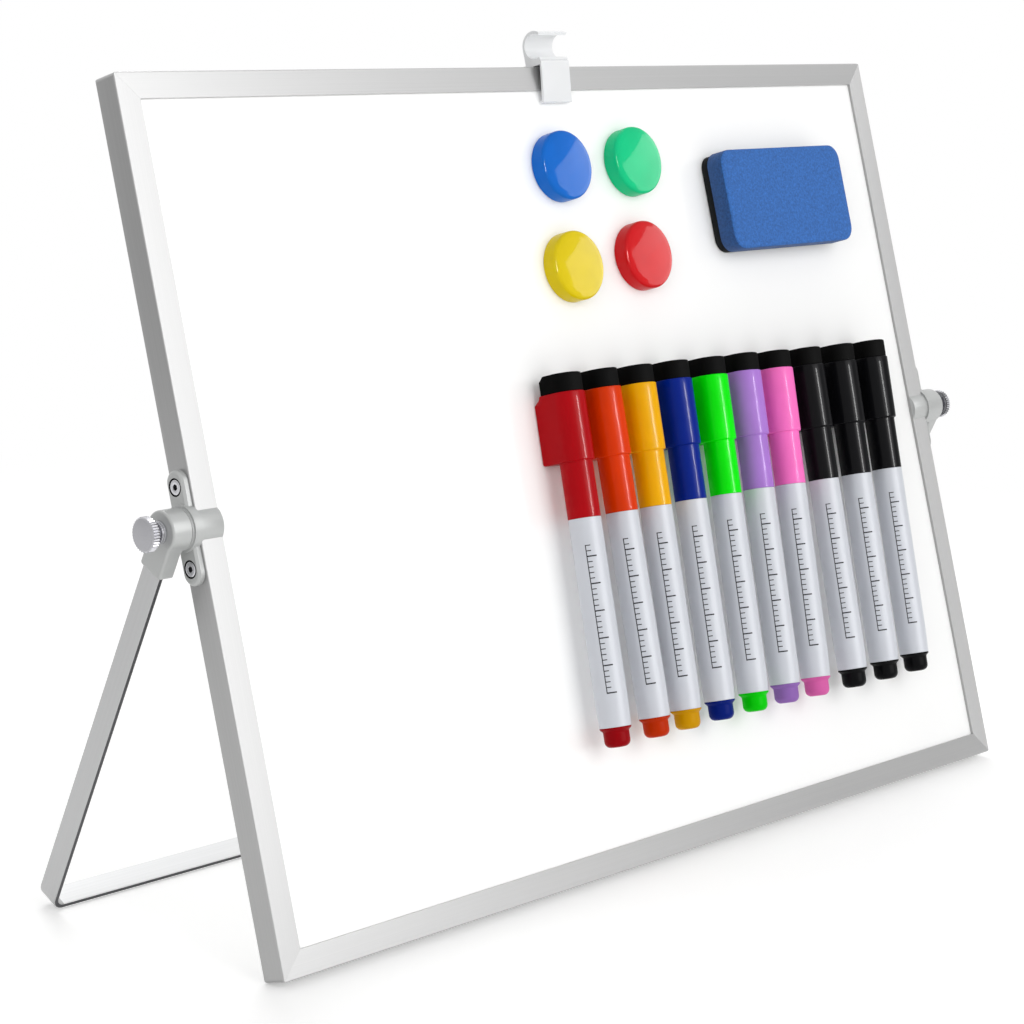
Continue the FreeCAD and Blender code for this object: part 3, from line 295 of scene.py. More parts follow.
# shapes, with outlines in millimetres
def welded(node):
    """A copy of a CAD node's mesh with its loose triangles joined and its flat faces made whole."""
    shape = bmesh.new()
    shape.from_mesh(frame["nodes"][node].data)
    bmesh.ops.remove_doubles(shape, verts=shape.verts, dist=0.0005 * MM)
    bmesh.ops.dissolve_limit(shape, angle_limit=math.radians(0.4), verts=shape.verts, edges=shape.edges)
    return shape


def lay_grain(shape, along):
    """A map in centimetres whose U runs across the brushed lines; along gives their direction on a face."""
    layer = shape.loops.layers.uv.new("grain")
    for face in shape.faces:
        across = face.normal.cross(along(face))
        if across.length < 0.1:
            across = ACROSS.copy()
        across.normalize()
        upwards = face.normal.cross(across)
        for loop in face.loops:
            loop[layer].uv = (loop.vert.co.dot(across) / (10 * MM), loop.vert.co.dot(upwards) / (10 * MM))


def loft(shape, rings, place, finish=0):
    """Closed skin through rings of points of one count, in one finish or with a finish for each ring."""
    finishes = finish if isinstance(finish, list) else [finish] * len(rings)
    rows = [[shape.verts.new(place @ Vector(spot)) for spot in ring] for ring in rings]
    for end in (reversed(rows[0]), rows[-1]):
        shape.faces.new(list(end)).material_index = finishes[-1]
    for lower, upper, chosen in zip(rows, rows[1:], finishes):
        for index, corner in enumerate(lower):
            following = (index + 1) % len(lower)
            wall = shape.faces.new((corner, lower[following], upper[following], upper[index]))
            wall.material_index = chosen


def softened(corners, steps):
    """A line of (radius, height, rounding) corners with each rounding drawn as an arc, in metres."""
    line = []
    for index, (radius, height, rounding) in enumerate(corners):
        here = Vector((radius, height))
        if rounding == 0 or index in (0, len(corners) - 1):
            line.append(here * MM)
            continue
        back = Vector(corners[index - 1][:2]) - here
        ahead = Vector(corners[index + 1][:2]) - here
        half = back.angle(ahead) / 2
        run = min(rounding / math.tan(half), back.length * 0.49, ahead.length * 0.49)
        true_rounding = run * math.tan(half)
        inwards = (back.normalized() + ahead.normalized()).normalized()
        centre = here + inwards * true_rounding / math.sin(half)
        start = here + back.normalized() * run - centre
        end = here + ahead.normalized() * run - centre
        sweep = start.angle_signed(end)
        for step in range(steps + 1):
            turn = Matrix.Rotation(-sweep * step / steps, 2)
            line.append((centre + turn @ start) * MM)
    return line


def turned(shape, corners, place, finish=0, count=64, steps=4):
    """A surface of revolution about the local Z axis."""
    angles = [math.tau * index / count for index in range(count)]
    rings = []
    for radius, height in softened(corners, steps):
        radius = max(radius, POLE * MM)
        rings.append([(radius * math.cos(angle), radius * math.sin(angle), height) for angle in angles])
    loft(shape, rings, place, finish)


def ring_of(radius, height, corners=0, count=48):
    """Points round the Z axis, on a circle or on a polygon with that corner radius."""
    ring = []
    for index in range(count):
        angle = math.tau * index / count
        reach = radius
        if corners:
            half = math.pi / corners
            reach = radius * math.cos(half) / math.cos(angle % (2 * half) - half)
        ring.append((reach * math.cos(angle) * MM, reach * math.sin(angle) * MM, height * MM))
    return ring


def rounded_ring(half_x, half_y, corner, height, steps=6):
    """Points of a rectangle with round corners, anticlockwise."""
    ring = []
    for centre_x, centre_y, first in ((1, 1, 0), (-1, 1, 90), (-1, -1, 180), (1, -1, 270)):
        for step in range(steps + 1):
            angle = math.radians(first + 90 * step / steps)
            ring.append((((half_x - corner) * centre_x + corner * math.cos(angle)) * MM,
                         ((half_y - corner) * centre_y + corner * math.sin(angle)) * MM, height * MM))
    return ring


def placed(across, depth, up, origin):
    """The place whose own X, Y and Z run along the three directions."""
    made = Matrix((across, depth, up)).transposed().to_4x4()
    made.translation = origin
    return made


def frame_on(node, depth, up):
    """The place of a CAD node: its middle across and in depth, and its lowest point up."""
    spots = [vertex.co for vertex in frame["nodes"][node].data.vertices]
    across = depth.cross(up)
    low = [min(spot.dot(axis) for spot in spots) for axis in (across, depth, up)]
    high = [max(spot.dot(axis) for spot in spots) for axis in (across, depth, up)]
    origin = across * (low[0] + high[0]) / 2 + depth * (low[1] + high[1]) / 2 + up * low[2]
    return placed(across, depth, up, origin)


def new_object(name, shape, *finishes):
    """An object at the origin with the mesh that was under way."""
    mesh = bpy.data.meshes.new(name)
    shape.to_mesh(mesh)
    shape.free()
    for finish in finishes:
        mesh.materials.append(finish)
    return bpy.data.objects.new(name, mesh)


def add_piece(name, shape, finishes, body, replaced, edge=0.0, sharp=35.0):
    """A finished piece on its body, which takes the place of a CAD node."""
    piece = new_object(name, shape, *finishes)
    piece.data.polygons.foreach_set("use_smooth", [True] * len(piece.data.polygons))
    piece.data.set_sharp_from_angle(angle=math.radians(sharp))
    bpy.context.scene.collection.objects.link(piece)
    if edge:
        bevel = piece.modifiers.new("edge", "BEVEL")
        bevel.width = edge
        bevel.segments = 2
        bevel.limit_method = "ANGLE"
        bevel.angle_limit = math.radians(35)
        bevel.harden_normals = True
    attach(piece, body)
    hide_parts(replaced)
    return piece


def dress_node(node, finish):
    """A CAD node that keeps its own shape gets a finish."""
    mesh = frame["nodes"][node].data
    if mesh.materials:
        mesh.materials[0] = finish
    else:
        mesh.materials.append(finish)


# geometry nodes
def wire(tree, *routes):
    """Links from a node's output to a node's input, each socket by its name or its number."""
    for source, output, target, socket in routes:
        tree.links.new(source.outputs[output], target.inputs[socket])


def math_node(tree, operation, second=0.0):
    made = add_node(tree, "ShaderNodeMath", operation=operation)
    made.inputs[1].default_value = second
    return made


def new_tree(name, **inputs):
    """A geometry tree with the named inputs, and its first and last node."""
    tree = bpy.data.node_groups.new(name, "GeometryNodeTree")
    sides = [("Geometry", "INPUT", "Geometry")] + [(label, "INPUT", kind) for label, kind in inputs.items()]
    for label, side, kind in sides + [("Geometry", "OUTPUT", "Geometry")]:
        tree.interface.new_socket(name=label, in_out=side, socket_type="NodeSocket" + kind)
    return tree, add_node(tree, "NodeGroupInput"), add_node(tree, "NodeGroupOutput")


def grown_mesh(name, tree, values):
    """The plain mesh that a node tree makes with these inputs."""
    carrier = bpy.data.objects.new(name + "_carrier", bpy.data.meshes.new(name + "_carrier"))
    bpy.context.scene.collection.objects.link(carrier)
    modifier = carrier.modifiers.new(name, "NODES")
    modifier.node_group = tree
    for item in tree.interface.items_tree:
        if item.item_type == "SOCKET" and item.in_out == "INPUT" and item.name in values:
            modifier[item.identifier] = values[item.name]
    carrier.update_tag()
    bpy.context.view_layer.update()
    grown = carrier.evaluated_get(bpy.context.evaluated_depsgraph_get())
    mesh = bpy.data.meshes.new_from_object(grown)
    mesh.name = name
    carrier.modifiers.remove(modifier)
    bpy.data.objects.remove(carrier)
    return mesh


def knurl_tree():
    """A ring of upright diamond teeth round the local Z axis."""
    tree, given, result = new_tree("knurled_rim", Teeth="Int", Radius="Float", Height="Float", Tooth="Float",
                                   Finish="Material")
    ring = add_node(tree, "GeometryNodeMeshCircle")
    size = add_node(tree, "ShaderNodeCombineXYZ")
    tooth = add_node(tree, "GeometryNodeMeshCube")
    diamond = add_node(tree, "GeometryNodeTransform", Rotation=(0.0, 0.0, math.radians(45)))
    position = add_node(tree, "GeometryNodeInputPosition")
    outward = add_node(tree, "FunctionNodeAlignRotationToVector", axis="X")
    teeth = add_node(tree, "GeometryNodeInstanceOnPoints")
    real = add_node(tree, "GeometryNodeRealizeInstances")
    paint = add_node(tree, "GeometryNodeSetMaterial")
    wire(tree,
         (given, "Teeth", ring, "Vertices"), (given, "Radius", ring, "Radius"),
         (given, "Tooth", size, "X"), (given, "Tooth", size, "Y"), (given, "Height", size, "Z"),
         (size, "Vector", tooth, "Size"), (tooth, "Mesh", diamond, "Geometry"),
         (position, "Position", outward, "Vector"), (ring, "Mesh", teeth, "Points"),
         (diamond, "Geometry", teeth, "Instance"), (outward, "Rotation", teeth, "Rotation"),
         (teeth, "Instances", real, "Geometry"), (real, "Geometry", paint, "Geometry"),
         (given, "Finish", paint, "Material"), (paint, "Geometry", result, "Geometry"))
    return tree


def tick_tree():
    """A row of short printed strokes along Z, wrapped round a barrel at its front, which is -Y."""
    tree, given, result = new_tree("printed_ticks", Ticks="Int", Spacing="Float", Length="Float",
                                   Thickness="Float", Start="Float", Edge="Float", Radius="Float",
                                   Finish="Material")
    step = add_node(tree, "ShaderNodeCombineXYZ")
    row = add_node(tree, "GeometryNodeMeshLine")
    start = add_node(tree, "ShaderNodeCombineXYZ")
    stroke = add_node(tree, "GeometryNodeMeshGrid", Vertices_X=7, Vertices_Y=2)
    strokes = add_node(tree, "GeometryNodeInstanceOnPoints")
    real = add_node(tree, "GeometryNodeRealizeInstances")
    wrap = add_node(tree, "GeometryNodeSetPosition")
    position = add_node(tree, "GeometryNodeInputPosition")
    flat = add_node(tree, "ShaderNodeSeparateXYZ")
    wrapped = add_node(tree, "ShaderNodeCombineXYZ")
    paint = add_node(tree, "GeometryNodeSetMaterial")
    half = math_node(tree, "DIVIDE", 2.0)
    middle = math_node(tree, "ADD")
    angle = math_node(tree, "DIVIDE")
    sine = math_node(tree, "SINE")
    cosine = math_node(tree, "COSINE")
    aside = math_node(tree, "MULTIPLY")
    depth = math_node(tree, "MULTIPLY")
    forward = math_node(tree, "MULTIPLY", -1.0)
    wire(tree,
         (given, "Spacing", step, "Y"), (given, "Ticks", row, "Count"), (step, "Vector", row, "Offset"),
         (given, "Length", half, 0), (half, 0, middle, 0), (given, "Edge", middle, 1),
         (middle, 0, start, "X"), (given, "Start", start, "Y"), (start, "Vector", row, "Start Location"),
         (given, "Length", stroke, "Size X"), (given, "Thickness", stroke, "Size Y"),
         (row, "Mesh", strokes, "Points"), (stroke, "Mesh", strokes, "Instance"),
         (strokes, "Instances", real, "Geometry"), (real, "Geometry", wrap, "Geometry"),
         (position, "Position", flat, "Vector"), (flat, "X", angle, 0), (given, "Radius", angle, 1),
         (angle, 0, sine, 0), (sine, 0, aside, 0), (given, "Radius", aside, 1), (aside, 0, wrapped, "X"),
         (angle, 0, cosine, 0), (cosine, 0, depth, 0), (given, "Radius", depth, 1),
         (depth, 0, forward, 0), (forward, 0, wrapped, "Y"), (flat, "Y", wrapped, "Z"),
         (wrapped, "Vector", wrap, "Position"), (wrap, "Geometry", paint, "Geometry"),
         (given, "Finish", paint, "Material"), (paint, "Geometry", result, "Geometry"))
    return tree


# operators
class PieceOperator:
    """What every operator of this file shares."""

    bl_options = {"REGISTER", "UNDO"}


# size of the brushed lines on a rail, along them, across them and into them
RAIL_LINE = (160 * MM, 0.16 * MM, 0.5 * MM)


class EASEL_OT_board(PieceOperator, bpy.types.Operator):
    """Finish the four mitred rails, the writing sheets and what joins them"""

    bl_idname = "easel.board"
    bl_label = "Board"

    def execute(self, context):
        sizes, colours = context.scene.easel_sizes, context.scene.easel_colours
        long, narrow, deep = RAIL_LINE
        # each rail's aluminium is scaled by its share: the top rail is painted lighter and the left rail
        # painted darker, painted light and shade on one metal
        for side, along, share in (("top", ACROSS, 1.04), ("bottom", ACROSS, 1.0),
                                   ("left", DOWN_BOARD, 0.92), ("right", DOWN_BOARD, 1.0)):
            grain = (long, deep, narrow) if along is ACROSS else (narrow, deep, long)
            face_finish = brushed_metal("brushed_rail_" + side, shade(colours.aluminium, share), BOARD_TURN,
                                        grain, stretch=0.7, metallic=0.75)
            shaded_side_finish = brushed_metal("satin_rail_" + side, colours.rail_side, BOARD_TURN, grain,
                                        stretch=0.5)
            shape = welded("rail_" + side)
            lay_grain(shape, lambda face: along)
            # faces that face sideways take the darker finish, which is painted shade
            for face in shape.faces:
                face.material_index = int(abs(face.normal.x) > 0.8)
            add_piece("brushed_rail_" + side, shape, [face_finish, shaded_side_finish], "board",
                      "rail_" + side, sizes.metal_edge)
        white = coated_sheet("lacquered_steel", colours.writing_white)
        for side in ("front", "back"):
            add_piece("lacquered_sheet_" + side, welded("writing_sheet_" + side), [white], "board",
                      "writing_sheet_" + side)
        dress_node("core_panel", plain_board("fibreboard", FIBREBOARD))
        dress_node("corner_keys", moulded_plastic("key_plastic", KEY_GREY))
        return {"FINISHED"}


# a bracket's screws, and the seats of their heads
SCREW_PITCH = 27.0 * MM
SEAT_RADIUS = 3.1 * MM
SEAT_DEPTH = 1.6 * MM
# a screw from its thread's end to its socket's floor: radius and height in millimetres, corners, and
# finish from there on, 0 for bright and 1 for dark; the first dark stretch is the gap round the head
# the dark finish in the gap round the head and in the socket is painted shade
SCREW_RINGS = (
    (POLE, -6.0, 0, 0), (1.3, -6.0, 0, 0), (1.5, -5.8, 0, 0), (1.5, -1.7, 0, 0), (2.9, -1.7, 0, 1),
    (2.9, -0.8, 0, 1), (2.7, -0.4, 0, 1), (2.5, -0.12, 0, 0), (2.25, -0.02, 0, 0), (1.35, -0.02, 0, 0),
    (1.15, -0.12, 6, 0), (1.15, -1.0, 6, 1), (POLE, -1.0, 0, 1))


class EASEL_OT_pivots(PieceOperator, bpy.types.Operator):
    """Finish the side brackets, their screws and inserts, and the hubs of the stand"""

    bl_idname = "easel.pivots"
    bl_label = "Pivots"

    def execute(self, context):
        sizes, colours = context.scene.easel_sizes, context.scene.easel_colours
        silver = moulded_plastic("silver_plastic", colours.silver_plastic, 0.36, 0.3 * MM, 0.03,
                                 metallic=0.25)
        bright = turned_chrome("bright_screw", shade(colours.chrome, 1.5), 0.25)
        dark = moulded_plastic("gap_black", colours.gap_black, 0.6, gloss=0.1)
        screws = bmesh.new()
        low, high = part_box("bracket_screws")
        middle = (low + high) / 2
        for side, outward, face in (("left", -ACROSS, low.x), ("right", ACROSS, high.x)):
            bracket = welded("bracket_" + side)
            for end in (-1, 1):
                seat = Vector((face, middle.y, middle.z)) + DOWN_BOARD * (SCREW_PITCH / 2 * end)
                loft(screws, [ring_of(*ring) for *ring, finish in SCREW_RINGS],
                     placed(DOWN_BOARD, DOWN_BOARD.cross(outward), outward, seat),
                     [finish for *ring, finish in SCREW_RINGS])
                self.paint_seat_shade(bracket, seat, outward)
            add_piece("moulded_bracket_" + side, bracket, [silver, dark], "board",
                      "bracket_" + side, sizes.plastic_edge)
            add_piece("moulded_hub_" + side, welded("hub_" + side), [silver], "stand",
                      "hub_" + side, sizes.plastic_edge)
        add_piece("socket_screws", screws, [bright, dark], "board", "bracket_screws")
        dress_node("pivot_inserts", turned_chrome("insert_brass", BRASS, 0.35))
        return {"FINISHED"}

    def paint_seat_shade(self, bracket, seat, outward):
        """The second finish, which is painted shade, on the walls of a screw's seat."""
        for wall in bracket.faces:
            spot = wall.calc_center_median() - seat
            out = spot.dot(outward)
            inside = (spot - outward * out).length < SEAT_RADIUS and out > -SEAT_DEPTH
            if inside and abs(wall.normal.x) < 0.5:
                wall.material_index = 1


# how far the stand's bends reach in from its outer sides
BEND_REACH = 6 * MM


class EASEL_OT_stand(PieceOperator, bpy.types.Operator):
    """Finish the bent flat bar of the stand"""

    bl_idname = "easel.stand"
    bl_label = "Stand"

    def execute(self, context):
        sizes, colours = context.scene.easel_sizes, context.scene.easel_colours
        turn = (STAND_LEAN, 0.0, 0.0)
        long, narrow, deep = 120 * MM, 0.5 * MM, 0.2 * MM
        # legs and foot are one steel, with the legs painted darker and the foot painted lighter: painted
        # shade and light
        legs = brushed_metal("brushed_legs", colours.steel, turn, (narrow, deep, long), 0.36, stretch=0.5)
        foot = brushed_metal("brushed_foot", colours.painted_light_foot_steel, turn, (long, deep, narrow), 0.36,
                             stretch=0.5)
        # the narrow edges take a near black steel, which is painted shade
        edge = brushed_metal("cut_edge", colours.cut_edge, turn, 0.3 * MM, 0.45, 0.2)
        shape = welded("stand_bar")
        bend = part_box("stand_bar")[1].x - BEND_REACH
        across_bar = Vector((0.0, math.cos(STAND_LEAN), math.sin(STAND_LEAN)))
        up_leg = Vector((0.0, -math.sin(STAND_LEAN), math.cos(STAND_LEAN)))
        for face in shape.faces:
            face.material_index = 0 if abs(face.calc_center_median().x) > bend else 1
            if abs(face.normal.dot(across_bar)) > 0.95:
                face.material_index = 2
        lay_grain(shape, lambda face: up_leg if face.material_index == 0 else ACROSS)
        add_piece("brushed_stand", shape, [legs, foot, edge], "stand", "stand_bar",
                  sizes.metal_edge)
        return {"FINISHED"}


# a thumbscrew's own sizes in millimetres, with z = 0 at its tip
TOOTH_DEPTH = 0.42
SHANK_RADIUS = 2.0
COLLAR_RADIUS = 3.3
COLLAR_LENGTH = 2.2
RIM_DROP = 0.4


class EASEL_OT_thumbscrews(PieceOperator, bpy.types.Operator):
    """Turn the thumbscrews with their knurled heads, and finish the washers"""

    bl_idname = "easel.thumbscrews"
    bl_label = "Thumbscrews"

    def execute(self, context):
        sizes, colours = context.scene.easel_sizes, context.scene.easel_colours
        chrome = turned_chrome("turned_chrome", colours.chrome)
        dark = moulded_plastic("knurl_shadow", colours.gap_black, 0.5, gloss=0.2)
        # the brighter steel is the washers' own and, on the knurl teeth, a painted highlight
        bright = turned_chrome("washer_steel", shade(colours.chrome, 1.5), 0.2)
        body = sizes.knob_radius / MM - TOOTH_DEPTH
        thickness = sizes.knob_thickness / MM
        teeth = knurl_tree()
        for side in SIDES:
            outward = Vector(joints["thumbscrew_%s_turn" % side]["axis"])
            place = frame_on("thumbscrew_" + side, Vector((0.0, 0.0, 1.0)), outward)
            low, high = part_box("thumbscrew_" + side)
            full = (high.x - low.x) / MM
            face_height = full - 0.02
            rim = full - RIM_DROP
            head = full - thickness
            collar = head - COLLAR_LENGTH
            shape = bmesh.new()
            turned(shape, [(0, 0, 0), (SHANK_RADIUS - 0.3, 0, 0.2), (SHANK_RADIUS, 0.35, 0.1),
                           (SHANK_RADIUS, collar, 0.05), (COLLAR_RADIUS, collar, 0.15),
                           (COLLAR_RADIUS, head, 0.1), (body - 0.1, head, 0.15), (body, head + 0.25, 0.1),
                           (body, rim, 0.15), (body - 0.35, face_height, 0.15), (0, face_height, 0)],
                   place, count=72)
            # the head's side between the teeth takes the dark finish: painted shade
            own = place.inverted()
            for face in shape.faces:
                spot = own @ face.calc_center_median() / MM
                if math.hypot(spot.x, spot.y) > body - 0.1 and spot.z < rim:
                    face.material_index = 1
            ring = grown_mesh("knurl_" + side, teeth, {
                "Teeth": sizes.knurl_teeth, "Radius": (body - 0.06) * MM,
                "Height": (thickness - 0.7) * MM, "Tooth": TOOTH_DEPTH * 1.45 * MM, "Finish": chrome})
            # the teeth take the brighter steel, a painted highlight
            add_grown(shape, ring, place @ Matrix.Translation((0, 0, (head + thickness / 2) * MM)), 2)
            add_piece("turned_thumbscrew_" + side, shape, [chrome, dark, bright], "thumbscrew_" + side,
                      "thumbscrew_" + side)
            add_piece("flat_washers_" + side, welded("washers_" + side), [bright], "washers_" + side,
                      "washers_" + side, sizes.metal_edge)
        return {"FINISHED"}


def add_grown(shape, mesh, place, finish):
    """A copy of a grown mesh, put in its place in a shape under way."""
    plain = len(shape.faces)
    copy = mesh.copy()
    copy.transform(place)
    shape.from_mesh(copy)
    shape.faces.ensure_lookup_table()
    for face in shape.faces[plain:]:
        face.material_index = finish


class EASEL_OT_clip(PieceOperator, bpy.types.Operator):
    """Finish the white pen clip"""

    bl_idname = "easel.clip"
    bl_label = "Pen clip"

    def execute(self, context):
        sizes, colours = context.scene.easel_sizes, context.scene.easel_colours
        white = moulded_plastic("clip_white", colours.clip_white, 0.22, 0.6 * MM, 0.015, 0.4, 0.01 * MM)
        add_piece("moulded_pen_clip", welded("pen_clip"), [white], "pen_clip", "pen_clip",
                  sizes.plastic_edge)
        return {"FINISHED"}


# a magnet in millimetres: the recess for its disc, its rim, and the crown that rises from the rim
DISC_RADIUS = 10.02
DISC_DEPTH = 4.02
RIM_WIDTH = 2.4
CROWN_TOP = 7.7
CROWN_RISE = 0.75
CROWN_STEPS = 7


class EASEL_OT_magnets(PieceOperator, bpy.types.Operator):
    """Make the four crowned round magnets"""

    bl_idname = "easel.magnets"
    bl_label = "Magnets"

    def execute(self, context):
        sizes, colours = context.scene.easel_sizes, context.scene.easel_colours
        ferrite = plain_board("ferrite", FERRITE, 0.6)
        radius = sizes.magnet_radius / MM
        crown_radius = radius - RIM_WIDTH
        profile = [(0, DISC_DEPTH, 0), (DISC_RADIUS, DISC_DEPTH, 0), (DISC_RADIUS, 0.3, 0), (10.3, 0.0, 0),
                   (radius - 0.3, 0, 0.2), (radius, 0.35, 0.2), (radius, 6.4, 2.6),
                   (crown_radius, 6.95, 0.6)]
        for step in range(1, CROWN_STEPS + 1):
            outer_share = 1 - step / CROWN_STEPS
            profile.append((crown_radius * outer_share, CROWN_TOP - CROWN_RISE * outer_share ** 2, 0))
        for tint in MAGNETS:
            gloss = moulded_plastic("magnet_gloss_" + tint, getattr(colours, "magnet_" + tint), 0.3,
                                    1.2 * MM, 0.05, 0.3, 0.004 * MM, gloss=0.02)
            place = frame_on("magnet_cap_" + tint, DOWN_BOARD, OUT_OF_BOARD)
            shape = bmesh.new()
            turned(shape, profile, place, count=96, steps=8)
            add_piece("crowned_magnet_" + tint, shape, [gloss], "magnet_" + tint,
                      "magnet_cap_" + tint, sharp=50.0)
            dress_node("magnet_disc_" + tint, ferrite)
        return {"FINISHED"}


# the eraser's rings from the sheet outwards: half width, half height, corner and height in millimetres
FOAM_RINGS = ((37.95, 19.7, 5.7, 0.0), (38.25, 20.0, 6.0, 0.3), (38.25, 20.0, 6.0, 7.0),
              (38.15, 19.9, 5.9, 7.45), (37.85, 19.6, 5.6, 7.75), (37.3, 19.05, 5.05, 7.9),
              (34.0, 15.8, 3.5, 7.98), (24.0, 8.0, 2.5, 8.0))
# the lowest rows of walls take a darker copy of the foam: painted shade
SHADED_WALL_ROWS = 3
FELT_RINGS = ((37.4, 19.2, 5.2, 0.0), (37.75, 19.5, 5.5, 0.3), (37.7, 19.45, 5.45, 1.7),
              (37.75, 19.5, 5.5, 3.3), (37.5, 19.25, 5.25, 3.5))


class EASEL_OT_eraser(PieceOperator, bpy.types.Operator):
    """Make the foam and felt of the magnetic eraser"""

    bl_idname = "easel.eraser"
    bl_label = "Eraser"

    def execute(self, context):
        colours = context.scene.easel_colours
        foam = cell_foam("cell_foam", colours.foam_blue)
        # the walls' foam is the same blue darkened, which is painted shade
        cut_foam = cell_foam("cut_foam", shade(colours.foam_blue, 0.55))
        felt = pressed_felt("pressed_felt", colours.felt_black)
        block = self.add_pad("foam_block", "eraser_foam", FOAM_RINGS, [foam, cut_foam],
                             [1] * SHADED_WALL_ROWS + [0] * (len(FOAM_RINGS) - SHADED_WALL_ROWS))
        self.add_pad("felt_pad", "eraser_felt", FELT_RINGS, [felt], 0)
        dress_node("eraser_magnet", plain_board("magnet_strip", SOOT, 0.7))
        return {"FINISHED"}

    def add_pad(self, name, node, rings, finishes, finish):
        place = frame_on(node, DOWN_BOARD, OUT_OF_BOARD)
        shape = bmesh.new()
        loft(shape, [rounded_ring(*ring) for ring in rings], place, finish)
        return add_piece(name, shape, finishes, "eraser", node, sharp=60.0)


# a marker in millimetres, with z = 0 at its lower end and Y towards the board
CAP_LOW = 84.2
CAP_SHELF = 105.0
CAP_TOP = 130.6
CAP_SLOPE = 3.2
BODY_RADIUS = 6.1
FIN_HALF = 6.95
FIN_BACK = 10.55
FIN_CORNER = 0.9
FIN_MAGNET = (4.0, 1.0, 17.0)
TIP_HALF = 6.55
TIP_BACK = FIN_BACK - 3.5
TIP_TOP = CAP_TOP + 7.0
SHOULDER = 101.2

# rings of a cap from inside its bore to its top, and of the tip on it: height and radius, then the
# back of the fin where it stands out, and its corner where that isn't FIN_CORNER
CAP_RINGS = (
    (114.2, 0.02), (114.2, 5.09), (CAP_LOW + 0.2, 5.09), (CAP_LOW, 5.3), (CAP_LOW, 5.92),
    (CAP_LOW + 0.06, 6.05), (CAP_LOW + 0.22, BODY_RADIUS), (CAP_SHELF - 0.25, BODY_RADIUS),
    (CAP_SHELF - 0.07, 6.13), (CAP_SHELF - 0.01, 6.2, 6.6, 3.0), (CAP_SHELF, 6.25, FIN_BACK - 0.7),
    (CAP_SHELF + 0.1, 6.6, FIN_BACK - 0.35), (CAP_SHELF + 0.35, 6.85, FIN_BACK - 0.1),
    (CAP_SHELF + 0.7, FIN_HALF, FIN_BACK), (CAP_TOP - 3.5, FIN_HALF, FIN_BACK),
    (CAP_TOP - CAP_SLOPE, FIN_HALF, FIN_BACK - 0.1), (CAP_TOP - 0.3, FIN_HALF, FIN_BACK - 3.0),
    (CAP_TOP - 0.1, 6.87, FIN_BACK - 3.25), (CAP_TOP, 6.7, FIN_BACK - 3.45, 0.8), (CAP_TOP, 0.02))
TIP_RINGS = (
    (CAP_TOP, 6.35, TIP_BACK - 0.2), (CAP_TOP + 0.2, TIP_HALF, TIP_BACK),
    (TIP_TOP - 2.1, TIP_HALF, TIP_BACK), (TIP_TOP - 1.8, TIP_HALF, TIP_BACK - 0.15),
    (TIP_TOP - 0.4, 6.5, TIP_BACK - 1.6), (TIP_TOP - 0.15, 6.35, TIP_BACK - 1.9),
    (TIP_TOP, 6.0, TIP_BACK - 2.3), (TIP_TOP, 0.02))

# a marker's turned parts: radius, height and rounding of each corner
TUBE = ((0, 7.4, 0), (5.6, 7.4, 0), (5.86, 7.42, 0.05), (5.9, 7.7, 0.1), (BODY_RADIUS, 16.4, 6.0),
        (BODY_RADIUS, 84.15, 0.12), (5.0, 84.15, 0), (5.0, 92.2, 0.3), (3.4, 92.2, 0.1),
        (2.2, SHOULDER, 0.2), (0, SHOULDER, 0))
PLUG = ((0, 0, 0), (4.8, 0, 2.6), (4.8, 5.85, 0.9), (5.83, 6.85, 0.2), (5.85, 7.37, 0.05), (0, 7.38, 0))
NIB = ((0, SHOULDER, 0), (1.5, SHOULDER, 0), (1.5, 106.9, 0.3), (0.75, 107.7, 0.2), (0, 107.7, 0))

# the printed scale, just proud of the tube, with its left edge measured round the tube from the front
SCALE_RADIUS = 6.13 * MM
SCALE_EDGE = -6.3 * MM
SCALE_START = 20 * MM
SHORT_TICK = 2.0 * MM
LONG_TICK = 3.8 * MM
THIN_STROKE = 0.34 * MM
THICK_STROKE = 0.5 * MM
TICKS_TO_LONG = 5

# angles round a cap, close together where the fin has its corners
FIN_QUARTER = [10, 20, 30] + [37 + 1.6 * step for step in range(20)] + [75, 82]
CAP_ANGLES = [math.radians(angle) for angle in
              [180 + 180 * step / 32 for step in range(33)] + FIN_QUARTER + [90]
              + [180 - angle for angle in reversed(FIN_QUARTER)]]


def cap_ring(height, radius, back=0.0, corner=FIN_CORNER):
    """A circle, or a half circle in front of a box with rounded corners, with a point at each angle."""
    ring = []
    for angle in CAP_ANGLES:
        across, depth = math.cos(angle), math.sin(angle)
        reach = radius
        if back and depth > 0:
            reach = min(radius / max(abs(across), 1e-6), back / max(depth, 1e-6))
            corner_x, corner_y = radius - corner, back - corner
            if abs(reach * across) > corner_x and reach * depth > corner_y:
                along = abs(across) * corner_x + depth * corner_y
                gap = corner_x ** 2 + corner_y ** 2 - corner ** 2
                reach = along + math.sqrt(max(along ** 2 - gap, 0.0))
        ring.append((reach * across * MM, reach * depth * MM, height * MM))
    return ring


def slab_ring(half_x, front, back, height):
    return [(x * MM, y * MM, height * MM) for x, y in
            ((-half_x, front), (half_x, front), (half_x, back), (-half_x, back))]


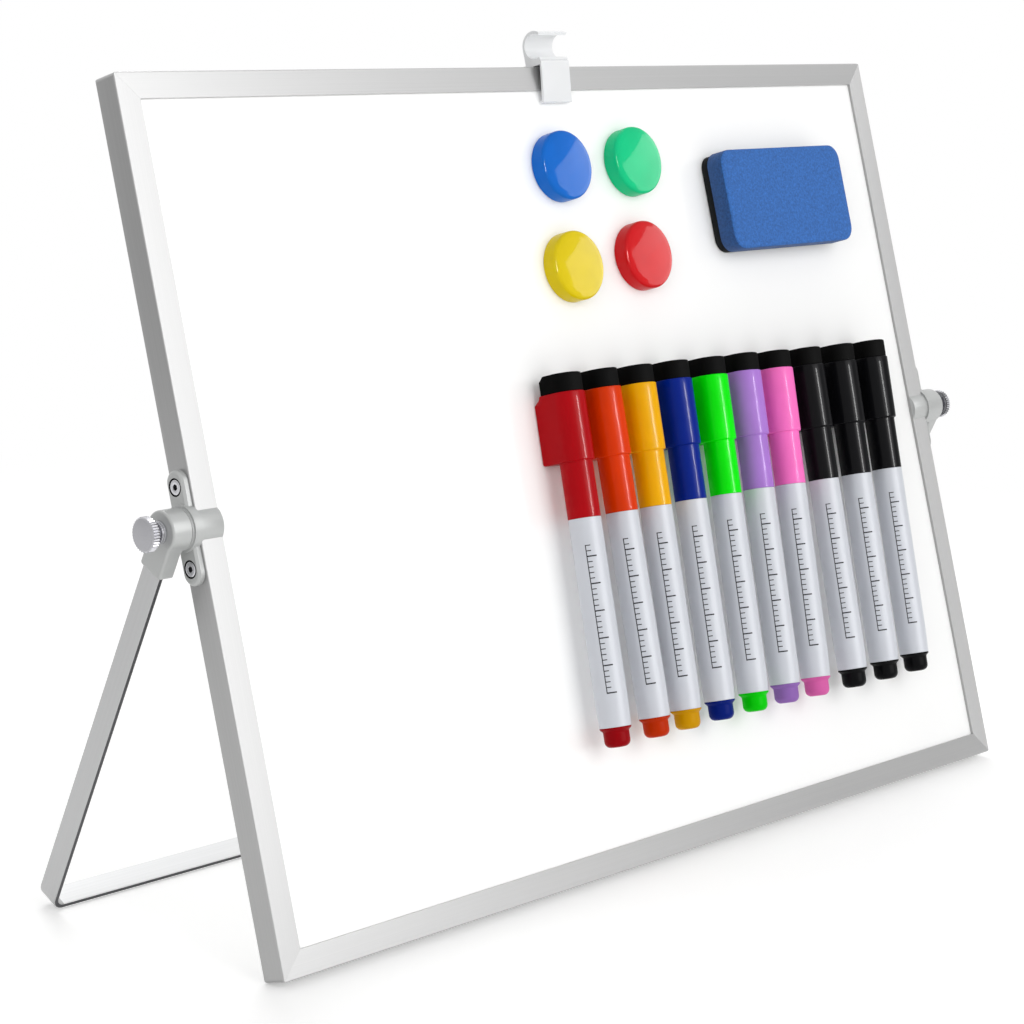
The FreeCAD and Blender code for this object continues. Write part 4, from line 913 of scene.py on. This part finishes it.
class EASEL_OT_markers(PieceOperator, bpy.types.Operator):
    """Make the capped markers, with a printed scale on each barrel"""

    bl_idname = "easel.markers"
    bl_label = "Markers"

    def execute(self, context):
        sizes, colours = context.scene.easel_sizes, context.scene.easel_colours
        white = moulded_plastic("barrel_gloss", colours.barrel_white, 0.3, 0.8 * MM, 0.015, 0.1, 0.008 * MM)
        tip_black = moulded_plastic("tip_black", colours.tip_black, 0.7, 0.35 * MM, 0.1, gloss=0.04)
        ferrite = plain_board("fin_magnet", SOOT, 0.6)
        ink = moulded_plastic("printed_ink", INK, 0.5, 0.3 * MM, 0.1)
        nib_grey = pressed_felt("nib_fibre", SOOT)
        prints = self.printed_scale(sizes, ink)
        for name in MARKERS:
            tint = name.split("_")[0]
            base = getattr(colours, "marker_" + tint)
            gloss = moulded_plastic("cap_gloss_" + name, base, 0.32, 0.9 * MM, 0.05, 0.1, 0.0015 * MM,
                                    gloss=0.04)
            # the tail plug is the cap's colour darkened: painted shade
            plug = moulded_plastic("plug_gloss_" + name, shade(base, 0.68), 0.35, 0.9 * MM, 0.05, 0.05,
                                   0.006 * MM, gloss=0.04)
            up = Vector(joints["marker_%s_uncap" % name]["axis"]).normalized() * -1.0
            place = frame_on("marker_barrel_" + name, OUT_OF_BOARD * -1.0, up)
            self.add_cap(name, tint, place, [gloss, tip_black, ferrite])
            self.add_barrel(name, place, [white, plug, nib_grey, ink], prints)
        return {"FINISHED"}

    def printed_scale(self, sizes, ink):
        """Meshes of the short ticks, the long ticks and the line that they stand on."""
        tree = tick_tree()
        reach = sizes.tick_spacing * (sizes.tick_count - 1)
        long_count = (sizes.tick_count - 1) // TICKS_TO_LONG + 1
        rows = (("short_ticks", sizes.tick_count, sizes.tick_spacing, SHORT_TICK, THIN_STROKE, 0.0),
                ("long_ticks", long_count, sizes.tick_spacing * TICKS_TO_LONG, LONG_TICK, THICK_STROKE, 0.0),
                ("scale_line", 1, 0.0, THIN_STROKE, reach + 0.4 * MM, reach / 2))
        return [grown_mesh(name, tree, {
            "Ticks": count, "Spacing": spacing, "Length": length, "Thickness": thickness,
            "Start": SCALE_START + start, "Edge": SCALE_EDGE, "Radius": SCALE_RADIUS, "Finish": ink})
            for name, count, spacing, length, thickness, start in rows]

    def add_cap(self, name, tint, place, finishes):
        shape = bmesh.new()
        for rings, finish in ((CAP_RINGS, 0), (TIP_RINGS, 1)):
            loft(shape, [cap_ring(*ring) for ring in rings], place, finish)
        half, depth, length = FIN_MAGNET
        start = CAP_SHELF + (CAP_TOP - CAP_SLOPE - CAP_SHELF - length) / 2
        loft(shape, [slab_ring(half, FIN_BACK - depth, FIN_BACK + 0.02, height)
                     for height in (start, start + length)], place, 2)
        add_piece("marker_cap_gloss_" + name, shape, finishes, "marker_cap_" + name,
                  "marker_cap_" + name, sharp=40.0)

    def add_barrel(self, name, place, finishes, prints):
        shape = bmesh.new()
        turned(shape, TUBE, place, 0)
        turned(shape, PLUG, place, 1, steps=6)
        turned(shape, NIB, place, 2, count=24)
        for mesh in prints:
            add_grown(shape, mesh, place, 3)
        add_piece("marker_barrel_gloss_" + name, shape, finishes, "marker_barrel_" + name,
                  "marker_barrel_" + name, sharp=40.0)


# stage: the camera, from the perspective of the board's corners in the photograph
CAMERA_PLACE = Vector((-0.743607, -0.672083, 0.329376))
CAMERA_YAW = math.radians(46.36)
CAMERA_PITCH = math.radians(11.68)
CAMERA_ROLL = math.radians(1.80)
CAMERA_LENS = 94.39

# lamps: place, target and size in metres, power in watts, and turn about the own axis in degrees
ROOM_LAMPS = {
    "front_softbox": ((0.15, -1.89, 0.98), (0.0, 0.0, 0.14), (1.6, 1.6), 16.8),
    "sheet_softbox": ((-1.35, -0.8, 0.55), (0.05, 0.0, 0.14), (0.9, 0.9), 7.0),
    "top_softbox": ((0.45, 0.95, 1.8), (0.0, 0.0, 0.05), (0.8, 0.8), 9.0),
}
GLINT_LAMPS = {
    "metal_softbox": ((0.52, -1.82, 0.98), (0.0, 0.0, 0.14), (1.6, 1.6), 18.5),
    "window_softbox": ((0.955, -0.44, 0.34), (0.0, 0.0, 0.22), (1.05, 0.75), 11.0, 5.0),
    "left_strip": ((-0.58, -0.76, 0.56), (0.0, 0.0, 0.22), (0.2, 0.5), 12.0),
    "front_strip": ((0.33, -0.93, 0.36), (0.0, 0.0, 0.2), (0.14, 0.6), 14.0),
}
# cards: place, target and size in metres, and brightness
CARDS = {
    "left_card": ((-0.95, 0.62, 0.10), (-0.1, 0.05, 0.15), (0.9, 0.9), 0.6),
    "right_card": ((1.22, -0.44, 0.30), (0.1, 0.0, 0.15), (1.15, 0.62), 0.42),
}

FLOOR_GREY = (0.93, 0.93, 0.925)
FLOOR_HALF = 30.0
FLOOR_DROP = 0.1 * MM
# the glow that only seen rays get, and the distances from the origin between which the floor whitens
FLOOR_GLOW = 0.24
WHITE_FROM = 0.22
WHITE_BEYOND = 0.8
WORLD_LIGHT = 0.61
WHITE = (1.0, 1.0, 1.0, 1.0)


def seen_rays(tree):
    """A node that is 1 for camera, glossy and transmission rays, which see the white background."""
    rays = add_node(tree, "ShaderNodeLightPath")
    either = math_node(tree, "MAXIMUM")
    any_of = math_node(tree, "MAXIMUM")
    wire(tree, (rays, "Is Camera Ray", either, 0), (rays, "Is Glossy Ray", either, 1),
         (either, 0, any_of, 0), (rays, "Is Transmission Ray", any_of, 1))
    return any_of


def group_of(name, pieces):
    group = bpy.data.collections.new(name)
    for piece in pieces:
        group.objects.link(bpy.data.objects[piece])
    return group


class EASEL_OT_stage(PieceOperator, bpy.types.Operator):
    """Set the floor, the lamps, the world and the camera"""

    bl_idname = "easel.stage"
    bl_label = "Stage"

    def execute(self, context):
        self.add_floor()
        self.add_world(context)
        self.add_room_lamps()
        for name, values in CARDS.items():
            self.add_card(name, *values)
        self.add_glints()
        self.add_camera(context)
        context.scene.view_settings.view_transform = "Standard"
        return {"FINISHED"}

    def add_floor(self):
        """A pale floor with the object's shadow, which turns into the white background further out."""
        finish = Finish("pale_floor", FLOOR_GREY, 0.55)
        finish.paint(finish.noise(finish.coordinates(30 * MM), detail=2.0), 0.9946, 1.0054)
        tree = finish.tree
        seen = seen_rays(tree)
        lift = math_node(tree, "MULTIPLY", FLOOR_GLOW)
        glow = add_node(tree, "ShaderNodeEmission")
        lit = add_node(tree, "ShaderNodeAddShader")
        plain = add_node(tree, "ShaderNodeBsdfDiffuse", Color=(*FLOOR_GREY, 1.0))
        white = add_node(tree, "ShaderNodeEmission", Strength=1.0)
        outer = add_node(tree, "ShaderNodeMixShader")
        source = add_node(tree, "ShaderNodeTexCoord")
        reach = add_node(tree, "ShaderNodeVectorMath", operation="LENGTH")
        share = add_node(tree, "ShaderNodeMapRange", interpolation_type="SMOOTHSTEP", From_Min=WHITE_FROM,
                         From_Max=WHITE_BEYOND)
        whole = add_node(tree, "ShaderNodeMixShader")
        wire(tree,
             (seen, 0, lift, 0), (lift, 0, glow, "Strength"), (finish.shader, 0, lit, 0), (glow, 0, lit, 1),
             (seen, 0, outer, 0), (plain, 0, outer, 1), (white, 0, outer, 2),
             (source, "Object", reach, 0), (reach, "Value", share, "Value"),
             (share, "Result", whole, 0), (lit, 0, whole, 1), (outer, 0, whole, 2),
             (whole, 0, tree.nodes["Material Output"], "Surface"))
        shape = bmesh.new()
        bmesh.ops.create_grid(shape, x_segments=2, y_segments=2, size=FLOOR_HALF)
        floor = new_object("floor", shape, finish.material)
        floor.location.z = -FLOOR_DROP
        bpy.context.scene.collection.objects.link(floor)

    def add_world(self, context):
        """White where it is seen, and grey as a light."""
        world = bpy.data.worlds.new("studio")
        context.scene.world = world
        world.use_nodes = True
        tree = world.node_tree
        tree.nodes.clear()
        seen = add_node(tree, "ShaderNodeBackground", Color=WHITE, Strength=1.0)
        light = add_node(tree, "ShaderNodeBackground", Color=WHITE, Strength=WORLD_LIGHT)
        choose = add_node(tree, "ShaderNodeMixShader")
        output = add_node(tree, "ShaderNodeOutputWorld")
        wire(tree, (seen_rays(tree), 0, choose, 0), (light, 0, choose, 1), (seen, 0, choose, 2),
             (choose, 0, output, "Surface"))

    def add_lamp(self, name, place, target, size, power, roll=0.0):
        lamp = bpy.data.lights.new(name, "AREA")
        lamp.shape = "RECTANGLE"
        lamp.size, lamp.size_y = size
        lamp.energy = power
        return self.aim(bpy.data.objects.new(name, lamp), place, target, roll)

    def add_room_lamps(self):
        """The lamps of the room: two give no glint, and one of these lights the writing sheet alone."""
        lamps = {name: self.add_lamp(name, *values) for name, values in ROOM_LAMPS.items()}
        for name in ("front_softbox", "sheet_softbox"):
            lamps[name].visible_glossy = False
        sheet = group_of("sheet_lit", ["lacquered_sheet_front"])
        lamps["sheet_softbox"].light_linking.receiver_collection = sheet

    def add_glints(self):
        """Softboxes that only gloss and metal mirror, each for its own pieces."""
        magnets = ["crowned_magnet_" + tint for tint in MAGNETS]
        caps = ["marker_cap_gloss_" + name for name in MARKERS]
        lamps = [self.add_lamp(name, *values) for name, values in GLINT_LAMPS.items()]
        for lamp in lamps:
            lamp.visible_diffuse = False
        metal, window, left, front = lamps
        for lamp, names in ((window, magnets), (left, magnets), (front, caps)):
            lamp.light_linking.receiver_collection = group_of(lamp.name + "_lit", names)
        others = group_of("all_but_magnets", magnets)
        for member in others.collection_objects:
            member.light_linking.link_state = "EXCLUDE"
        metal.light_linking.receiver_collection = others

    def add_card(self, name, place, target, size, grey):
        """A grey card that only metal and gloss see, to give them a darker side."""
        shape = bmesh.new()
        bmesh.ops.create_grid(shape, x_segments=1, y_segments=1, size=0.5,
                              matrix=Matrix.Diagonal((*size, 1.0, 1.0)))
        finish = Finish(name, (0.0, 0.0, 0.0), 1.0, Emission_Color=WHITE, Emission_Strength=grey)
        card = new_object(name, shape, finish.material)
        card.visible_camera = False
        card.visible_diffuse = False
        card.visible_shadow = False
        self.aim(card, place, target)

    def aim(self, thing, place, target, roll=0.0):
        thing.location = place
        level = (Vector(target) - Vector(place)).to_track_quat("-Z", "Y")
        thing.rotation_euler = (level @ Quaternion((0.0, 0.0, 1.0), math.radians(roll))).to_euler()
        bpy.context.scene.collection.objects.link(thing)
        return thing

    def add_camera(self, context):
        ahead = Vector((math.sin(CAMERA_YAW) * math.cos(CAMERA_PITCH),
                        math.cos(CAMERA_YAW) * math.cos(CAMERA_PITCH), -math.sin(CAMERA_PITCH)))
        level = Vector((math.cos(CAMERA_YAW), -math.sin(CAMERA_YAW), 0.0))
        upright = level.cross(ahead)
        right = level * math.cos(CAMERA_ROLL) + upright * math.sin(CAMERA_ROLL)
        up = upright * math.cos(CAMERA_ROLL) - level * math.sin(CAMERA_ROLL)
        camera = bpy.data.cameras.new("camera")
        camera.lens = CAMERA_LENS
        camera.sensor_width = 36.0
        camera.sensor_fit = "HORIZONTAL"
        camera.clip_start = 0.01
        thing = bpy.data.objects.new("camera", camera)
        thing.matrix_world = placed(right, up, -ahead, CAMERA_PLACE)
        context.scene.collection.objects.link(thing)
        context.scene.camera = thing


OPERATORS = (EASEL_OT_board, EASEL_OT_pivots, EASEL_OT_stand, EASEL_OT_thumbscrews, EASEL_OT_clip,
             EASEL_OT_magnets, EASEL_OT_eraser, EASEL_OT_markers, EASEL_OT_stage)


class EASEL_PT_pieces(bpy.types.Panel):
    """Lists the pieces of the whiteboard and their sizes and colours"""

    bl_idname = "EASEL_PT_pieces"
    bl_label = "Desk Whiteboard"
    bl_space_type = "VIEW_3D"
    bl_region_type = "UI"
    bl_category = "Whiteboard"

    def draw(self, context):
        for operator in OPERATORS:
            self.layout.operator(operator.bl_idname)
        for group in (context.scene.easel_sizes, context.scene.easel_colours):
            for name in group.__annotations__:
                self.layout.prop(group, name)


CLASSES = (EaselSizes, EaselColours, *OPERATORS, EASEL_PT_pieces)


def register():
    for listed in CLASSES:
        bpy.utils.register_class(listed)
    bpy.types.Scene.easel_sizes = bpy.props.PointerProperty(type=EaselSizes)
    bpy.types.Scene.easel_colours = bpy.props.PointerProperty(type=EaselColours)


def unregister():
    del bpy.types.Scene.easel_colours
    del bpy.types.Scene.easel_sizes
    for listed in reversed(CLASSES):
        bpy.utils.unregister_class(listed)


def main():
    register()
    for operator in OPERATORS:
        family, name = operator.bl_idname.split(".")
        getattr(getattr(bpy.ops, family), name)()


if __name__ == "__main__":
    main()
